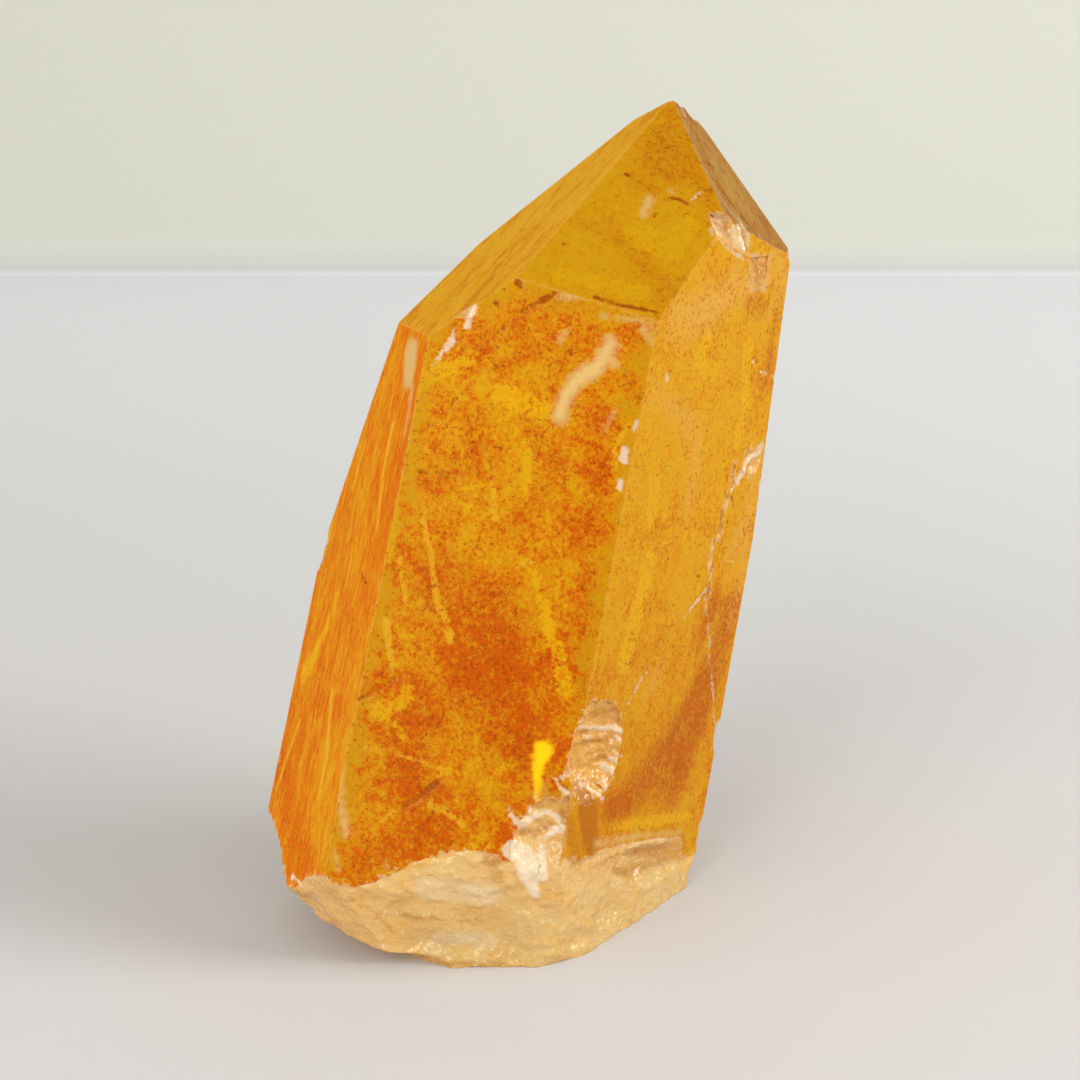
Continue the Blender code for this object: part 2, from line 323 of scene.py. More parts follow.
STROKES = (
    # on the front face
    *strokes(Zone.FRONT, Ink.BARE, {
        "main window": (1.07, 0.91, (3.9, 61.3), (3.1, 59), (1.3, 57.2), (0.3, 54.9), (0.3, 53.3)),
        "window shoulder": (0.75, 0.54, (3.4, 60.7), (4.7, 59.5)),
        "window under the slope": (0.43, 0.43, (-1.9, 65.1), (0.9, 65.8)),
        "window sliver": (0.24, 0.21, (2.8, 63.9), (7.6, 64.3)),
        "small pale patch": (0.38, 0.32, (-1.1, 60.8), (-0.3, 62.2)),
        "pale dash": (0.32, 0.21, (4.9, 53.1), (5.6, 55.1)),
        "clear strip low left": (0.27, 0.59, (-15, 15.1), (-14.6, 11.5), (-13.3, 8.4)),
        "clear edge of the blob": (0.21, 0.21, (-14.2, 6.5), (-13.4, 4.4)),
        "notch beside the blob": (0.27, 0.32, (-9, 6.3), (-8.1, 5.2)),
        "corner window": (0.45, 0.3, (6.8, 63.5), (8.2, 62.2)),
        "corner window top": (0.25, 0.3, (6.6, 63.7), (8.6, 63.7)),
    }),
    *strokes(Zone.FRONT, Ink.FROST, {
        "edge bubble high": (0.32, 0.27, (7.9, 54.1), (7.8, 53.4)),
        "edge bubble": (0.38, 0.43, (7.3, 51.3), (7.4, 50.2)),
        "edge bubble low": (0.32, 0.27, (7.4, 48.1), (7.5, 47.3)),
        "scuff top": (0.14, 0.34, (-9.6, 64.4), (-10.2, 62.8), (-10.5, 60.6)),
        "scuff spur": (0.2, 0.2, (-11.9, 60.3), (-11.8, 59.2)),
        "scuff wedge": (0.4, 0.06, (-11.6, 59), (-12.3, 57.8), (-13.6, 55.6)),
    }),
    *strokes(Zone.FRONT, Ink.SEAM, {
        "bubble arc": (0.16, 0.13, (7.1, 53.8), (6.3, 51.4), (6.5, 49.1)),
        "gold streak": (0.19, 0.11, (-13, 36.4), (-11.6, 32.3)),
        "gold streak long": (0.17, 0.32, (-11.3, 40.8), (-9.8, 37), (-8.5, 32.8), (-7.2, 31.3)),
        "gold streak end": (0.43, 0.38, (-6.8, 30.2), (-6.4, 29.4)),
        "gold dash": (0.38, 0.21, (-13.2, 30), (-11.7, 25.6)),
        "gold lens upper": (0.15, 0.15, (-1.4, 37.9), (0.1, 38.5)),
        "gold seam": (0.14, 0.14, (-13, 17.2), (-9.4, 17.1), (-4.7, 16.5)),
        "gold crack": (0.12, 0.12, (-10.7, 8.4), (-10.6, 9.8), (-8.8, 11.5), (-6.7, 13.6), (-4.7, 16.4)),
        "gold wisps low": (0.27, 0.21, (-5.6, 12.8), (-3.8, 12.4), (-2, 11.3)),
        "gold column left": (0.21, 0.21, (-5.2, 45.9), (-4.2, 42.1)),
    }),
    *strokes(Zone.FRONT, Ink.RUST, {
        "crimson spot": (0.32, 0.32, (-6.4, 65.9), (-5.9, 65.4)),
        "rust loop": (0.19, 0.19, (-8.9, 62.8), (-8, 63.4), (-7.4, 62.9)),
        "rust spot": (0.17, 0.17, (0.1, 60), (0.3, 59.7)),
        "rust dashes left": (0.14, 0.13, (-12.7, 45.4), (-10.9, 45.6), (-8.8, 45.4)),
        "rust corner": (0.21, 0.21, (7.6, 56.7), (7.9, 56.4)),
        "rust cloud": (0.16, 0.13, (-10.3, 53.3), (-10.7, 52.3)),
        "rust cloud low": (0.19, 0.13, (-12.5, 50.3), (-13, 49.5)),
        "rust beside the crack": (0.2, 0.3, (-8.3, 11.9), (-6.6, 13.6), (-5.3, 15.1)),
        "rust line": (0.11, 0.11, (-14.6, 21.8), (-12.6, 23.4), (-10.6, 25.3)),
        "rust streak": (0.24, 0.3, (-2.3, 65.5), (-3.4, 64.5)),
        "rust streak middle": (0.2, 0.12, (-3.7, 64.4), (-6, 62.5)),
        "rust streak end": (0.16, 0.06, (-6.5, 61.7), (-8.2, 59.3)),
    }),
    *strokes(Zone.FRONT, Ink.DEEP, {
        "deep streaks high": (0.86, 0.54, (-2.3, 65.3), (-7, 59.8), (-9.7, 57.7)),
        "deep streaks lower": (0.65, 0.65, (-4.8, 59), (-6.4, 56.7)),
        "deep round the spot": (0.75, 0.54, (0.4, 60.6), (-0.6, 58.3)),
        "deep right column": (0.86, 0.86, (5.9, 62.6), (6.8, 58.8), (6.7, 56), (4.3, 53.7)),
        "deep left cloud": (1.07, 0.97, (-7.5, 51.6), (-7.6, 46.5), (-11.4, 44.8)),
        "deep middle": (0.75, 0.86, (-2.4, 51.5), (1.3, 48.1), (-1.8, 42.5)),
        "deep low field": (2.79, 2.79, (-8.6, 35.1), (-2, 32.3), (-2.7, 25), (2.2, 20.8)),
        "deep low left": (2.15, 2.15, (-8.1, 21), (-9.2, 15.6), (-5.5, 12.3)),
        "deep right low": (0.97, 0.75, (6, 38.9), (6.3, 31.8), (7.7, 27)),
        "deep foot": (1.07, 1.5, (-3.9, 9.5), (-7.7, 7.7), (-10.9, 5.3)),
        "deep high right": (0.86, 0.97, (5.2, 48.8), (4.8, 42.7)),
    }),
    *strokes(Zone.FRONT, Ink.YOLK, {
        "gold strip left": (0.65, 0.43, (-15.2, 50.2), (-14.6, 42.2), (-14.1, 36.2)),
        "gold corner": (0.97, 0.65, (-14.4, 54.1), (-12.4, 55.8), (-9.6, 57.3)),
        "gold lens": (0.17, 0.97, (0.1, 38.5), (2.3, 33.9), (3.7, 31.1), (6, 26.5)),
        "gold patch": (0.97, 0.54, (-12.4, 21), (-10, 22.6), (-9.4, 23.8)),
        "gold lens left": (0.32, 0.32, (-10.4, 20.1), (-8.4, 18.2)),
        "gold spot": (0.43, 0.32, (0.5, 17.3), (1.8, 18.4)),
        "gold hem": (0.21, 0.24, (-6.9, 6), (-3.6, 7.9), (-0.7, 9.3), (2.2, 9.8)),
        "gold column": (0.27, 0.27, (-2.6, 50.5), (-1.5, 44.6)),
        "gold field": (1.29, 0.86, (-5.5, 54.5), (-1.3, 53.8)),
    }),
    # The bright spot is painted glow.
    *strokes(Zone.FRONT, Ink.GLOW, {
        "bright spot": (1.15, 0.3, (4.6, 20.3), (4.4, 18), (5, 14.9)),
    }),
    # on the left face
    *strokes(Zone.LEFT, Ink.BARE, {
        "clear quad": (1.7, 1.5, (4.6, 57), (5.2, 54.8)),
        "clear tail": (0.6, 0.15, (6.7, 53.5), (7.1, 50.5), (7, 47.6)),
    }),
    *strokes(Zone.LEFT, Ink.RUST, {
        "rust dash": (0.1, 0.1, (4.4, 56.5), (5.2, 54.9)),
        "rust dashes": (0.1, 0.1, (3.3, 34), (5.1, 33.1)),
    }),
    *strokes(Zone.LEFT, Ink.YOLK, {
        "gold patch": (0.43, 0.97, (-1.4, 30.8), (-3.2, 25.8), (-6.3, 21.4)),
    }),
    *strokes(Zone.LEFT, Ink.SEAM, {
        "gold seam": (0.21, 0.21, (-2.3, 47.3), (-3.3, 41.9)),
        "gold streak low": (0.32, 0.21, (2, 21.4), (4, 14.5), (4, 10.3)),
        "gold streak edge": (0.24, 0.21, (-4.8, 17), (-7.4, 8.8)),
        "gold seam middle": (0.27, 0.21, (3.6, 49.4), (3.8, 44.7), (5.1, 38.7)),
    }),
    *strokes(Zone.LEFT, Ink.DEEP, {
        "deep band": (0.97, 0.86, (-3.3, 40.8), (-1.7, 32.5), (4.4, 27.1)),
        "deep foot": (1.29, 1.29, (-6.6, 12.2), (-1.6, 5.8), (6.8, 3.7)),
        "deep middle": (0.86, 0.65, (-0.6, 19.9), (6.7, 19.2)),
    }),
    *strokes(Zone.LEFT, Ink.FROST, {
        "frost at the foot": (0.27, 0.21, (1.4, 1.6), (3.8, 1.4)),
    }),
    # on the front slope
    *strokes(Zone.FRONT_SLOPE, Ink.BARE, {
        "pale spot": (0.59, 0.54, (4.2, 57.2), (3.7, 54.8)),
        "pale spot top": (0.21, 0.21, (6, 58.7), (6.4, 58.6)),
    }),
    *strokes(Zone.FRONT_SLOPE, Ink.RUST, {
        "crack": (0.15, 0.19, (5.7, 57.4), (6.8, 57.8), (8.1, 57.4)),
        "crack end": (0.1, 0.1, (9.7, 59.5), (10.6, 60.4)),
        "speck one": (0.12, 0.12, (2.7, 64.4), (2.8, 64.3)),
        "speck two": (0.14, 0.14, (7.5, 64), (7.6, 63.9)),
        "speck three": (0.18, 0.18, (1.4, 59.8), (1.6, 59.7)),
        "speck four": (0.1, 0.1, (4.6, 61.5), (4.9, 61.5)),
        "speck five": (0.1, 0.1, (5, 64.5), (5.3, 64.6)),
        "speck six": (0.15, 0.15, (4.8, 54.8), (5, 55.2)),
        "speck seven": (0.16, 0.16, (10.8, 56.8), (10.9, 56.7)),
        "speck eight": (0.14, 0.14, (5.3, 50.5), (5.4, 50.2)),
        "speck nine": (0.16, 0.16, (-4, 49.1), (-3.7, 49)),
        "speck ten": (0.17, 0.17, (4.5, 48), (4.6, 47.9)),
        "rust line": (0.16, 0.2, (0.1, 42.9), (2.6, 42.6), (6.3, 42.5)),
    }),
    *strokes(Zone.FRONT_SLOPE, Ink.FROST, {
        "crack gold": (0.1, 0.1, (8.3, 57.9), (9.5, 59.4)),
    }),
    *strokes(Zone.FRONT_SLOPE, Ink.DEEP, {
        "brown band": (0.43, 0.65, (-3.3, 52.9), (1.7, 50.6), (5.7, 47.1), (7.6, 45.6)),
        "brown band high": (0.32, 0.32, (1.5, 59.8), (3.1, 58.9), (4.6, 58.4)),
        "tip shade": (0.97, 0.54, (5.5, 69.7), (7.6, 64.8), (9.8, 59.7), (11.2, 56.5)),
        "brown corner": (0.54, 0.43, (8.3, 47.1), (6.5, 44)),
        "tip deep": (1.4, 3.6, (5.6, 69.5), (6.2, 63.5)),
    }),
    *strokes(Zone.FRONT_SLOPE, Ink.YOLK, {
        "gold field": (1.72, 1.07, (3.7, 52), (6.9, 50.7), (8.6, 54.5)),
        "gold field left": (0.97, 0.97, (-3.7, 44.9), (0.4, 44.6), (4.5, 44.6)),
    }),
    # on the right slope
    *strokes(Zone.RIGHT_SLOPE, Ink.BARE, {
        "edge strip": (0.2, 0.7, (2.1, 61.5), (0, 55.9), (-0.2, 52), (0.5, 49.9), (2.2, 48)),
    }),
    *strokes(Zone.RIGHT_SLOPE, Ink.RUST, {
        "edge crack": (0.07, 0.13, (3.3, 61.1), (1.9, 52.4), (2.5, 50.9), (4.4, 48.6), (5.6, 47.2)),
    }),
    *strokes(Zone.RIGHT_SLOPE, Ink.FROST, {
        "rim line": (0.1, 0.2, (6.2, 47.4), (11, 46)),
        "frosted tip": (0.43, 0.32, (3.9, 64), (3.6, 62.4)),
    }),
    *strokes(Zone.RIGHT_SLOPE, Ink.YOLK, {
        "gold field": (0.54, 0.65, (4.2, 56.8), (4.7, 53), (6.8, 50.2)),
    }),
    # on the right face
    *strokes(Zone.RIGHT, Ink.FROST, {
        "chip line": (0.12, 0.18, (-1.5, 74.2), (1.9, 73.7), (5.3, 73.3)),
        "bright wedge": (0.21, 0.13, (-7.8, 60.1), (-7.7, 59.3)),
        "bright wedge right": (0.24, 0.21, (10.1, 63.4), (10.7, 63)),
        "frost nick": (0.16, 0.16, (12.2, 62.4), (15.7, 62.2)),
        "feather": (0.48, 0.43, (15.8, 54.4), (13.6, 52.6), (11.6, 50.4)),
        "pale line": (0.19, 0.13, (9, 38.5), (7.1, 37), (4.8, 35.1)),
        "pale line lower": (0.15, 0.13, (-0.4, 30.1), (-2.3, 28.2), (-4, 25.9)),
        # A painted glint.
        "sparkle": (0.15, 0.13, (13.7, 41.8), (13, 41)),
    }),
    # The right face's peach haze is partly frosting and partly a painted reflection of the window lamp.
    *strokes(Zone.RIGHT, Ink.HAZE, {
        "shoulder wedge": (0.7, 0.25, (11, 74.6), (13.5, 73.6), (14.2, 72), (13.4, 70.3), (12, 68.9)),
        "pale wedge": (0.7, 0.7, (2.7, 72.2), (2.2, 70.9), (4.4, 70.2)),
        "haze by the feather": (0.75, 0.75, (15.1, 51.8), (14.9, 46.2), (13, 41.7)),
        "pale line second": (0.21, 0.21, (1.5, 29.7), (-0.6, 26.3)),
        "haze top": (2.36, 0.86, (-7.2, 65.5), (4.4, 70.2), (11, 72.7)),
        "haze upper": (1.07, 0.97, (-9.5, 57.1), (1, 54.9), (1.5, 47.6)),
        "haze right edge": (0.75, 0.65, (15.7, 48.5), (16.3, 40.7), (15.5, 35.1)),
    }),
    *strokes(Zone.RIGHT, Ink.AMBER, {
        "gold in the notch": (0.9, 0.9, (7.4, 73.3), (8.9, 72.7), (8, 71.7)),
        "amber panel": (0.8, 1.3, (5, 9.4), (10, 9.7), (13.0, 9.9)),
        "amber panel low": (0.6, 0.9, (1, 8), (4.6, 7.4), (8, 8.3), (13.0, 9.0)),
        "amber wisps": (0.02, 0.2, (-6, 8.8), (-1, 9.6), (6, 10)),
        "amber by the panel": (0.6, 0.8, (-11.5, 14.1), (-10.6, 12), (-9.5, 10.8)),
    }),
    *strokes(Zone.RIGHT, Ink.RUST, {
        "notch crack": (0.09, 0.12, (11.8, 72.7), (11.3, 70.9), (11.5, 69)),
        "notch edge": (0.1, 0.1, (-2.5, 75.5), (-2, 74.3), (-3, 72.9)),
        "crack top": (0.1, 0.11, (10, 51.4), (10.7, 49.6)),
        "crack": (0.13, 0.1, (10.6, 48.7), (11.8, 47.4)),
        "crack lower": (0.1, 0.11, (10.9, 46.4), (10.8, 44.9)),
        "crack foot": (0.11, 0.2, (10.5, 43.8), (9.8, 42), (9, 40.4)),
        "crack end": (0.11, 0.11, (5.2, 40.1), (6.8, 39.5)),
        "dash": (0.1, 0.1, (15.1, 45.1), (15.6, 44.5)),
    }),
    *strokes(Zone.RIGHT, Ink.DEEP, {
        "deep under the notch": (0.7, 0.6, (7.5, 69.5), (10.5, 69.1)),
        "deep right edge": (0.65, 0.43, (13.9, 69.3), (13.7, 66), (14, 61.6)),
        "deep low": (1.8, 4.0, (15.5, 37), (12, 27), (8, 18.5)),
        "deep low left": (3.0, 1.4, (7, 21), (2, 16.8), (-3.9, 15)),
        "deep middle": (0.86, 1.29, (11.4, 37.2), (9.3, 32.8)),
    }),
    *strokes(Zone.RIGHT, Ink.YOLK, {
        "gold among the haze": (0.97, 0.86, (-0.7, 64.2), (-2.2, 61.9), (2.1, 61.2)),
        "gold right band": (1.18, 0.97, (8.6, 64.3), (9.9, 59), (9.9, 54.7)),
        "gold below the crack": (1.29, 1.29, (-4.7, 40.9), (-5.4, 36.8), (-6.3, 30.5)),
        "gold upper field": (1.07, 1.07, (-6.6, 49.1), (-6.2, 45)),
        "gold hem": (0.54, 0.54, (-2.9, 13), (5.3, 13), (14.2, 13.3)),
        "gold right foot": (0.43, 0.43, (16.2, 9.3), (16.5, 5.9)),
    }),
    *strokes(Zone.RIGHT, Ink.BARE, {
        "pale strip": (0.6, 0.3, (-5.4, 11.3), (-0.7, 11.5), (5, 11.6), (12.8, 11.5)),
        "pale corner": (0.14, 0.3, (-6.4, 12.2), (-5.3, 11)),
    }),
    # The dark panel is painted shade on a shadowed facet below the scoop.
    *strokes(Zone.RIGHT, Ink.UMBER, {
        "dark panel": (1.9, 1.3, (-8.8, 15.7), (-8, 14.1), (-7.1, 12.3), (-6.2, 11.2)),
    }),
    # on the chipped shoulder
    *strokes(Zone.RIGHT, Ink.BARE, {
        "pale chip": (1.3, 1.3, (-2, 76.4), (3.6, 75.4)),
    }),
    *strokes(Zone.RIGHT, Ink.AMBER, {
        "amber in the chip": (0.4, 0.3, (-1.2, 76), (1.2, 75)),
    }),
    *strokes(Zone.RIGHT, Ink.FROST, {
        "chip ridge": (0.14, 0.2, (3.2, 76.7), (3.7, 74.2)),
    }),
    # on the scoop in the front right edge; its pale lines are painted highlights as well as frost
    *strokes(Zone.RIGHT, Ink.FROST, {
        "ledge": (0.2, 0.3, (-10.5, 23.2), (-6.7, 23.1), (-5.3, 23.4), (-4.4, 23)),
        "ledge end": (0.15, 0.2, (-4.7, 22.5), (-4.1, 22)),
        "tooth low": (0.14, 0.12, (-11, 23.9), (-10.3, 23.3)),
        "fan rib": (0.05, 0.1, (-9.2, 18.5), (-9.2, 17.4)),
        "fan rib second": (0.05, 0.1, (-8.4, 18.5), (-8.5, 17.3)),
        "fan rib third": (0.05, 0.1, (-7.6, 18.5), (-7.9, 17.3)),
        "fan rib fourth": (0.05, 0.1, (-6.9, 18.4), (-7.4, 17.2)),
        "ridge": (0.15, 0.3, (-7.5, 17.2), (-6.7, 16.6), (-5.7, 15.8)),
        "blob": (0.4, 0.35, (-5.4, 19.3), (-4.7, 18.8)),
        "blob above": (0.18, 0.24, (-4.8, 20.1), (-4, 19.8)),
        "splinter": (0.07, 0.1, (-4.6, 20.8), (-3.3, 20.3)),
        "streak": (0.18, 0.2, (-5.6, 18.1), (-5.5, 16.9)),
    }),
    # Painted shade under the scoop's ledge and in its fan, laid in amber.
    *strokes(Zone.RIGHT, Ink.AMBER, {
        "shade under the ledge": (0.35, 0.3, (-9.2, 22.1), (-6.5, 21.7), (-5.2, 21.9)),
        "shade in the fan": (0.4, 0.3, (-6.3, 20.5), (-5, 20.2)),
    }),
    *strokes(Zone.RIGHT, Ink.RUST, {
        "crack in the fan": (0.08, 0.08, (-6.3, 17.6), (-5.9, 16.9)),
    }),
    *strokes(Zone.FRONT, Ink.FROST, {
        "tooth": (0.1, 0.14, (7.2, 24.3), (8, 23.6)),
        "crescent": (0.12, 0.3, (6.8, 17.1), (7.5, 16.6), (8.5, 16.3)),
        "curl": (0.25, 0.2, (7, 17.8), (7.3, 18.4), (7.9, 18.3)),
        "crescent tail": (0.06, 0.1, (6.1, 17.7), (6.7, 17.4)),
    }),
    # on the scar at the foot of the front face
    # The hollow under the arc is painted shade; the dark panel beside it is a darker umber patch.
    *strokes(Zone.FRONT, Ink.UMBER, {
        "dark panel": (0.5, 0.6, (9.6, 15.9), (10.4, 14.6)),
        "hollow under the arc": (0.2, 0.2, (4.2, 11.6), (5.6, 12), (6.8, 12.8)),
    }),
    *strokes(Zone.FRONT, Ink.AMBER, {
        "amber panel": (0.8, 1, (7.9, 14.2), (8.9, 11.7), (9.7, 10)),
        "amber above the arc": (0.45, 0.5, (5.9, 16.3), (7.4, 15.4), (8.6, 14.8)),
        "brown by the chunk": (0.7, 0.5, (1.3, 8.6), (2.6, 6.9)),
    }),
    *strokes(Zone.FRONT, Ink.FROST, {
        # Painted glints on the panel.
        "sparkle on the panel": (0.05, 0.09, (9.2, 13.9), (9.9, 13.3)),
        "sparkle below": (0.1, 0.1, (9.5, 12.9), (9.7, 12.7)),
        "spike point": (0.12, 0.12, (4.6, 15.7), (4.8, 15.4)),
        "white arc high": (0.15, 0.3, (2.3, 13.9), (3.1, 12.7), (3.7, 12.3)),
        "white arc": (0.45, 0.2, (3.9, 12.6), (5, 13.5), (6.1, 14), (7.1, 13.8), (7.5, 13.3)),
        "arc bump": (0.2, 0.25, (4.4, 14.4), (4.5, 13.9)),
        "white knob": (0.35, 0.4, (6.5, 11.7), (7.2, 12.5), (7.9, 12.8)),
        "white chunk": (1, 1.2, (3.3, 9.9), (4.6, 9.4), (5.6, 7.6)),
        "white chunk right": (0.4, 0.5, (6.2, 10.4), (6.9, 7.6)),
        "white chunk low": (0.8, 0.4, (5.6, 7), (6.5, 5.5)),
    }),
    *strokes(Zone.FRONT, Ink.HAZE, {
        "pale spike": (0.15, 0.35, (4.9, 16.6), (5.4, 15.6)),
    }),
    # on the foot
    *strokes(Zone.FRONT, Ink.BARE, {
        "light zone": (1.1, 1.3, (-4.6, 4.2), (-1.2, 4.6), (1.8, 4.6)),
        "light ledge": (0.6, 0.7, (-2.7, -1.1), (0, -0.6), (2.9, -0.2)),
    }),
    *strokes(Zone.FRONT, Ink.AMBER, {
        "tan zone": (0.1, 0.25, (-11.9, 1.7), (-9.2, 0.8), (-7.5, -1)),
        "tan streak": (0.05, 0.1, (-6.7, 0.8), (-2.6, 1.1), (1.3, 1.7)),
        "amber hem": (0.4, 0.25, (-4.6, -3.7), (-1, -3.6), (4, -2.7)),
    }),
)


# ---------------------------------------------------------------- shader maths


class Wire:
    """A shader socket that can stand in a sum."""

    def __init__(self, bench: "Bench", socket: bpy.types.NodeSocket) -> None:
        """Wrap a socket of the bench's material."""
        self.bench = bench
        self.socket = socket

    def math(self, operation: str, *others: "Wire | float") -> "Wire":
        """The Math node of that operation on this value and the others."""
        inputs = dict(enumerate((self, *others)))
        return self.bench.node("ShaderNodeMath", {"operation": operation}, inputs)

    def __add__(self, other: "Wire | float") -> "Wire":
        """Sum."""
        return self.math("ADD", other)

    __radd__ = __add__

    def __mul__(self, other: "Wire | float") -> "Wire":
        """Product."""
        return self.math("MULTIPLY", other)

    __rmul__ = __mul__

    def __sub__(self, other: "Wire | float") -> "Wire":
        """Difference."""
        return self.math("SUBTRACT", other)

    def __rsub__(self, other: float) -> "Wire":
        """Difference from a number."""
        return self.bench.node("ShaderNodeMath", {"operation": "SUBTRACT"}, {0: other, 1: self})

    def __or__(self, other: "Wire | float") -> "Wire":
        """The greater of the two."""
        return self.math("MAXIMUM", other)

    def __and__(self, other: "Wire | float") -> "Wire":
        """The lesser of the two."""
        return self.math("MINIMUM", other)

    def clear_of(self, low: float, high: float) -> "Wire":
        """A soft step from 0 at low to 1 at high, where low may be the greater."""
        settings = {"interpolation_type": "SMOOTHSTEP"}
        return self.bench.node("ShaderNodeMapRange", settings, {0: self, 1: low, 2: high})

    def spread(self, low: float, high: float) -> "Wire":
        """An even slope from 0 at low to 1 at high."""
        return self.bench.node("ShaderNodeMapRange", None, {0: self, 1: low, 2: high})


Colour = tuple[float, float, float]
WHITE = (1.0, 1.0, 1.0)
BLACK = (0.0, 0.0, 0.0)


class Bench:
    """A material under construction, and the one way to add a node to it."""

    def __init__(self, name: str) -> None:
        """Start an empty material.

        Args:
            name: The material's name.
        """
        self.material = bpy.data.materials.new(name)
        self.material.use_nodes = True
        self.material.cycles.emission_sampling = "NONE"
        self.tree = self.material.node_tree
        self.tree.nodes.clear()

    def node(self, kind: str, settings: dict | None = None, inputs: dict | None = None,
             output: int | str | None = 0) -> Wire | None:
        """Add a node.

        Args:
            kind: The node's Blender type.
            settings: Its properties, which are set first.
            inputs: Values or wires by socket name or number.
            output: Name or number of the output to hand back, or None where it has none.

        Returns:
            That output.
        """
        made = self.tree.nodes.new(kind)
        for key, value in (settings or {}).items():
            setattr(made, key, value)
        for key, value in (inputs or {}).items():
            socket = made.inputs[key]
            if isinstance(value, Wire):
                self.tree.links.new(value.socket, socket)
            elif isinstance(value, tuple) and socket.type == "RGBA":
                socket.default_value = (*value[:3], 1.0)
            else:
                socket.default_value = value
        return None if output is None else Wire(self, made.outputs[output])

    def crystal_place(self) -> Wire:
        """The shaded point in the crystal's frame, in millimetres.

        Returns:
            A vector.
        """
        back = STANCE.rotation().transposed()
        origin = back @ Vector(STANCE.middle)
        coordinates = self.node("ShaderNodeTexCoord", None, None, "Object")
        inputs = {
            "Vector": coordinates,
            "Location": tuple(origin),
            "Rotation": tuple(back.to_euler()),
            "Scale": (1.0 / MM,) * 3,
        }
        return self.node("ShaderNodeMapping", None, inputs)

    def vector(self, operation: str, inputs: dict, output: int | str = 0) -> Wire:
        """A Vector Math node."""
        return self.node("ShaderNodeVectorMath", {"operation": operation}, inputs, output)

    def along(self, place: Wire, direction: tuple[float, float, float]) -> Wire:
        """How far a place lies along a direction."""
        return self.vector("DOT_PRODUCT", {0: place, 1: direction}, "Value")

    def cloud(self, place: Wire, size: float, detail: float, rough: float, warp: float = 0.0) -> Wire:
        """Cloudy noise from 0 to 1 with patches of about that size.

        Args:
            place: Where it is read.
            size: The size of its patches.
            detail: How many finer layers it has.
            rough: How strong the finer layers are.
            warp: How far it is bent out of shape.

        Returns:
            A value from 0 to 1.
        """
        steps = self.vector("SCALE", {0: place, "Scale": 1.0 / size})
        inputs = {"Vector": steps, "Scale": 1.0, "Detail": detail, "Roughness": rough, "Distortion": warp}
        return self.node("ShaderNodeTexNoise", None, inputs)

    def bump(self, height: Wire, depth: float) -> Wire:
        """The normal of a surface that stands out by the height's share of a depth."""
        inputs = {"Strength": 1.0, "Distance": depth * MM, "Height": height}
        return self.node("ShaderNodeBump", None, inputs)

    def mark(self, name: str) -> Wire:
        """A value noted on the mesh."""
        return self.node("ShaderNodeAttribute", {"attribute_name": name}, None, "Fac")

    def frayed(self, name: str, wander: Wire, fray: "Fray") -> Wire:
        """A mark's share at the shaded point: 1 inside the mark and 0 away from it."""
        return (self.mark(name) + wander * fray.stray).clear_of(fray.start, fray.full)

    def mix(self, factor: Wire | float, first: "Wire | Colour", second: "Wire | Colour") -> Wire:
        """One colour over another."""
        inputs = {"Factor": factor, 6: first, 7: second}
        return self.node("ShaderNodeMix", {"data_type": "RGBA"}, inputs, 2)

    def both(self, factor: Wire | float, first: Wire, second: Wire) -> Wire:
        """One shader over another."""
        return self.node("ShaderNodeMixShader", None, {0: factor, 1: first, 2: second})

    def finish(self, surface: Wire, volume: Wire | None = None) -> bpy.types.Material:
        """Close the material.

        Args:
            surface: The surface shader.
            volume: The shader of the inside, where there is one.

        Returns:
            The material.
        """
        inputs = {"Surface": surface}
        if volume:
            inputs["Volume"] = volume
        self.node("ShaderNodeOutputMaterial", None, inputs, None)
        return self.material


# ---------------------------------------------------------------- finishes


@dataclass(frozen=True)
class Body:
    """What light meets inside the crystal, how its surface shines, and how strongly its film glows with
    painted light.
    """

    ior: float = 1.544
    tint: Colour = (0.985, 0.88, 0.02)
    density: float = 80.0
    sheen: Colour = (1.0, 0.70, 0.24)
    # Strength of the painted glow, an emission that stands in for light coming through the crystal.
    glow: float = 0.5

    def volume(self, bench: Bench) -> Wire:
        """Golden absorption through the depth of the crystal."""
        inputs = {"Color": self.tint, "Density": self.density}
        return bench.node("ShaderNodeVolumeAbsorption", None, inputs)

    def clear(self, bench: Bench, colour: Wire | Colour, rough: Wire | float, normal: Wire,
              shine: float) -> Wire:
        """Clear quartz.

        Args:
            bench: The material's bench.
            colour: The tint of what shines through.
            rough: The surface's roughness.
            normal: Its bumped normal.
            shine: The strength of its gloss.

        Returns:
            A shader.
        """
        return bench.node("ShaderNodeBsdfPrincipled", None, {
            "Base Color": colour,
            "Roughness": rough,
            "IOR": self.ior,
            "Specular IOR Level": shine,
            "Specular Tint": self.sheen,
            "Transmission Weight": 1.0,
            "Normal": normal,
        })

    def film(self, bench: Bench, colour: Wire, rough: Wire | float, normal: Wire, shine: float,
             thin: float, light: Wire | float) -> Wire:
        """A film that scatters light back and, where it is thin, lets light out from inside, and that glows
        with painted light in its own colour.

        Args:
            bench: The material's bench.
            colour: The film's colour.
            rough: Its roughness.
            normal: Its bumped normal.
            shine: The strength of its gloss.
            thin: The share of light that comes through it.
            light: The share of its painted glow, which stands in for light coming through from inside.

        Returns:
            A shader.
        """
        outside = bench.node("ShaderNodeBsdfPrincipled", None, {
            "Base Color": colour,
            "Roughness": rough,
            "IOR": self.ior,
            "Specular IOR Level": shine,
            "Normal": normal,
            # Painted glow: emission in the film's own colour.
            "Emission Color": bench.mix(light, BLACK, colour),
            "Emission Strength": self.glow,
        })
        inside = bench.node("ShaderNodeBsdfTranslucent", None, {"Color": colour, "Normal": normal})
        return bench.both(thin, outside, inside)


BODY = Body()


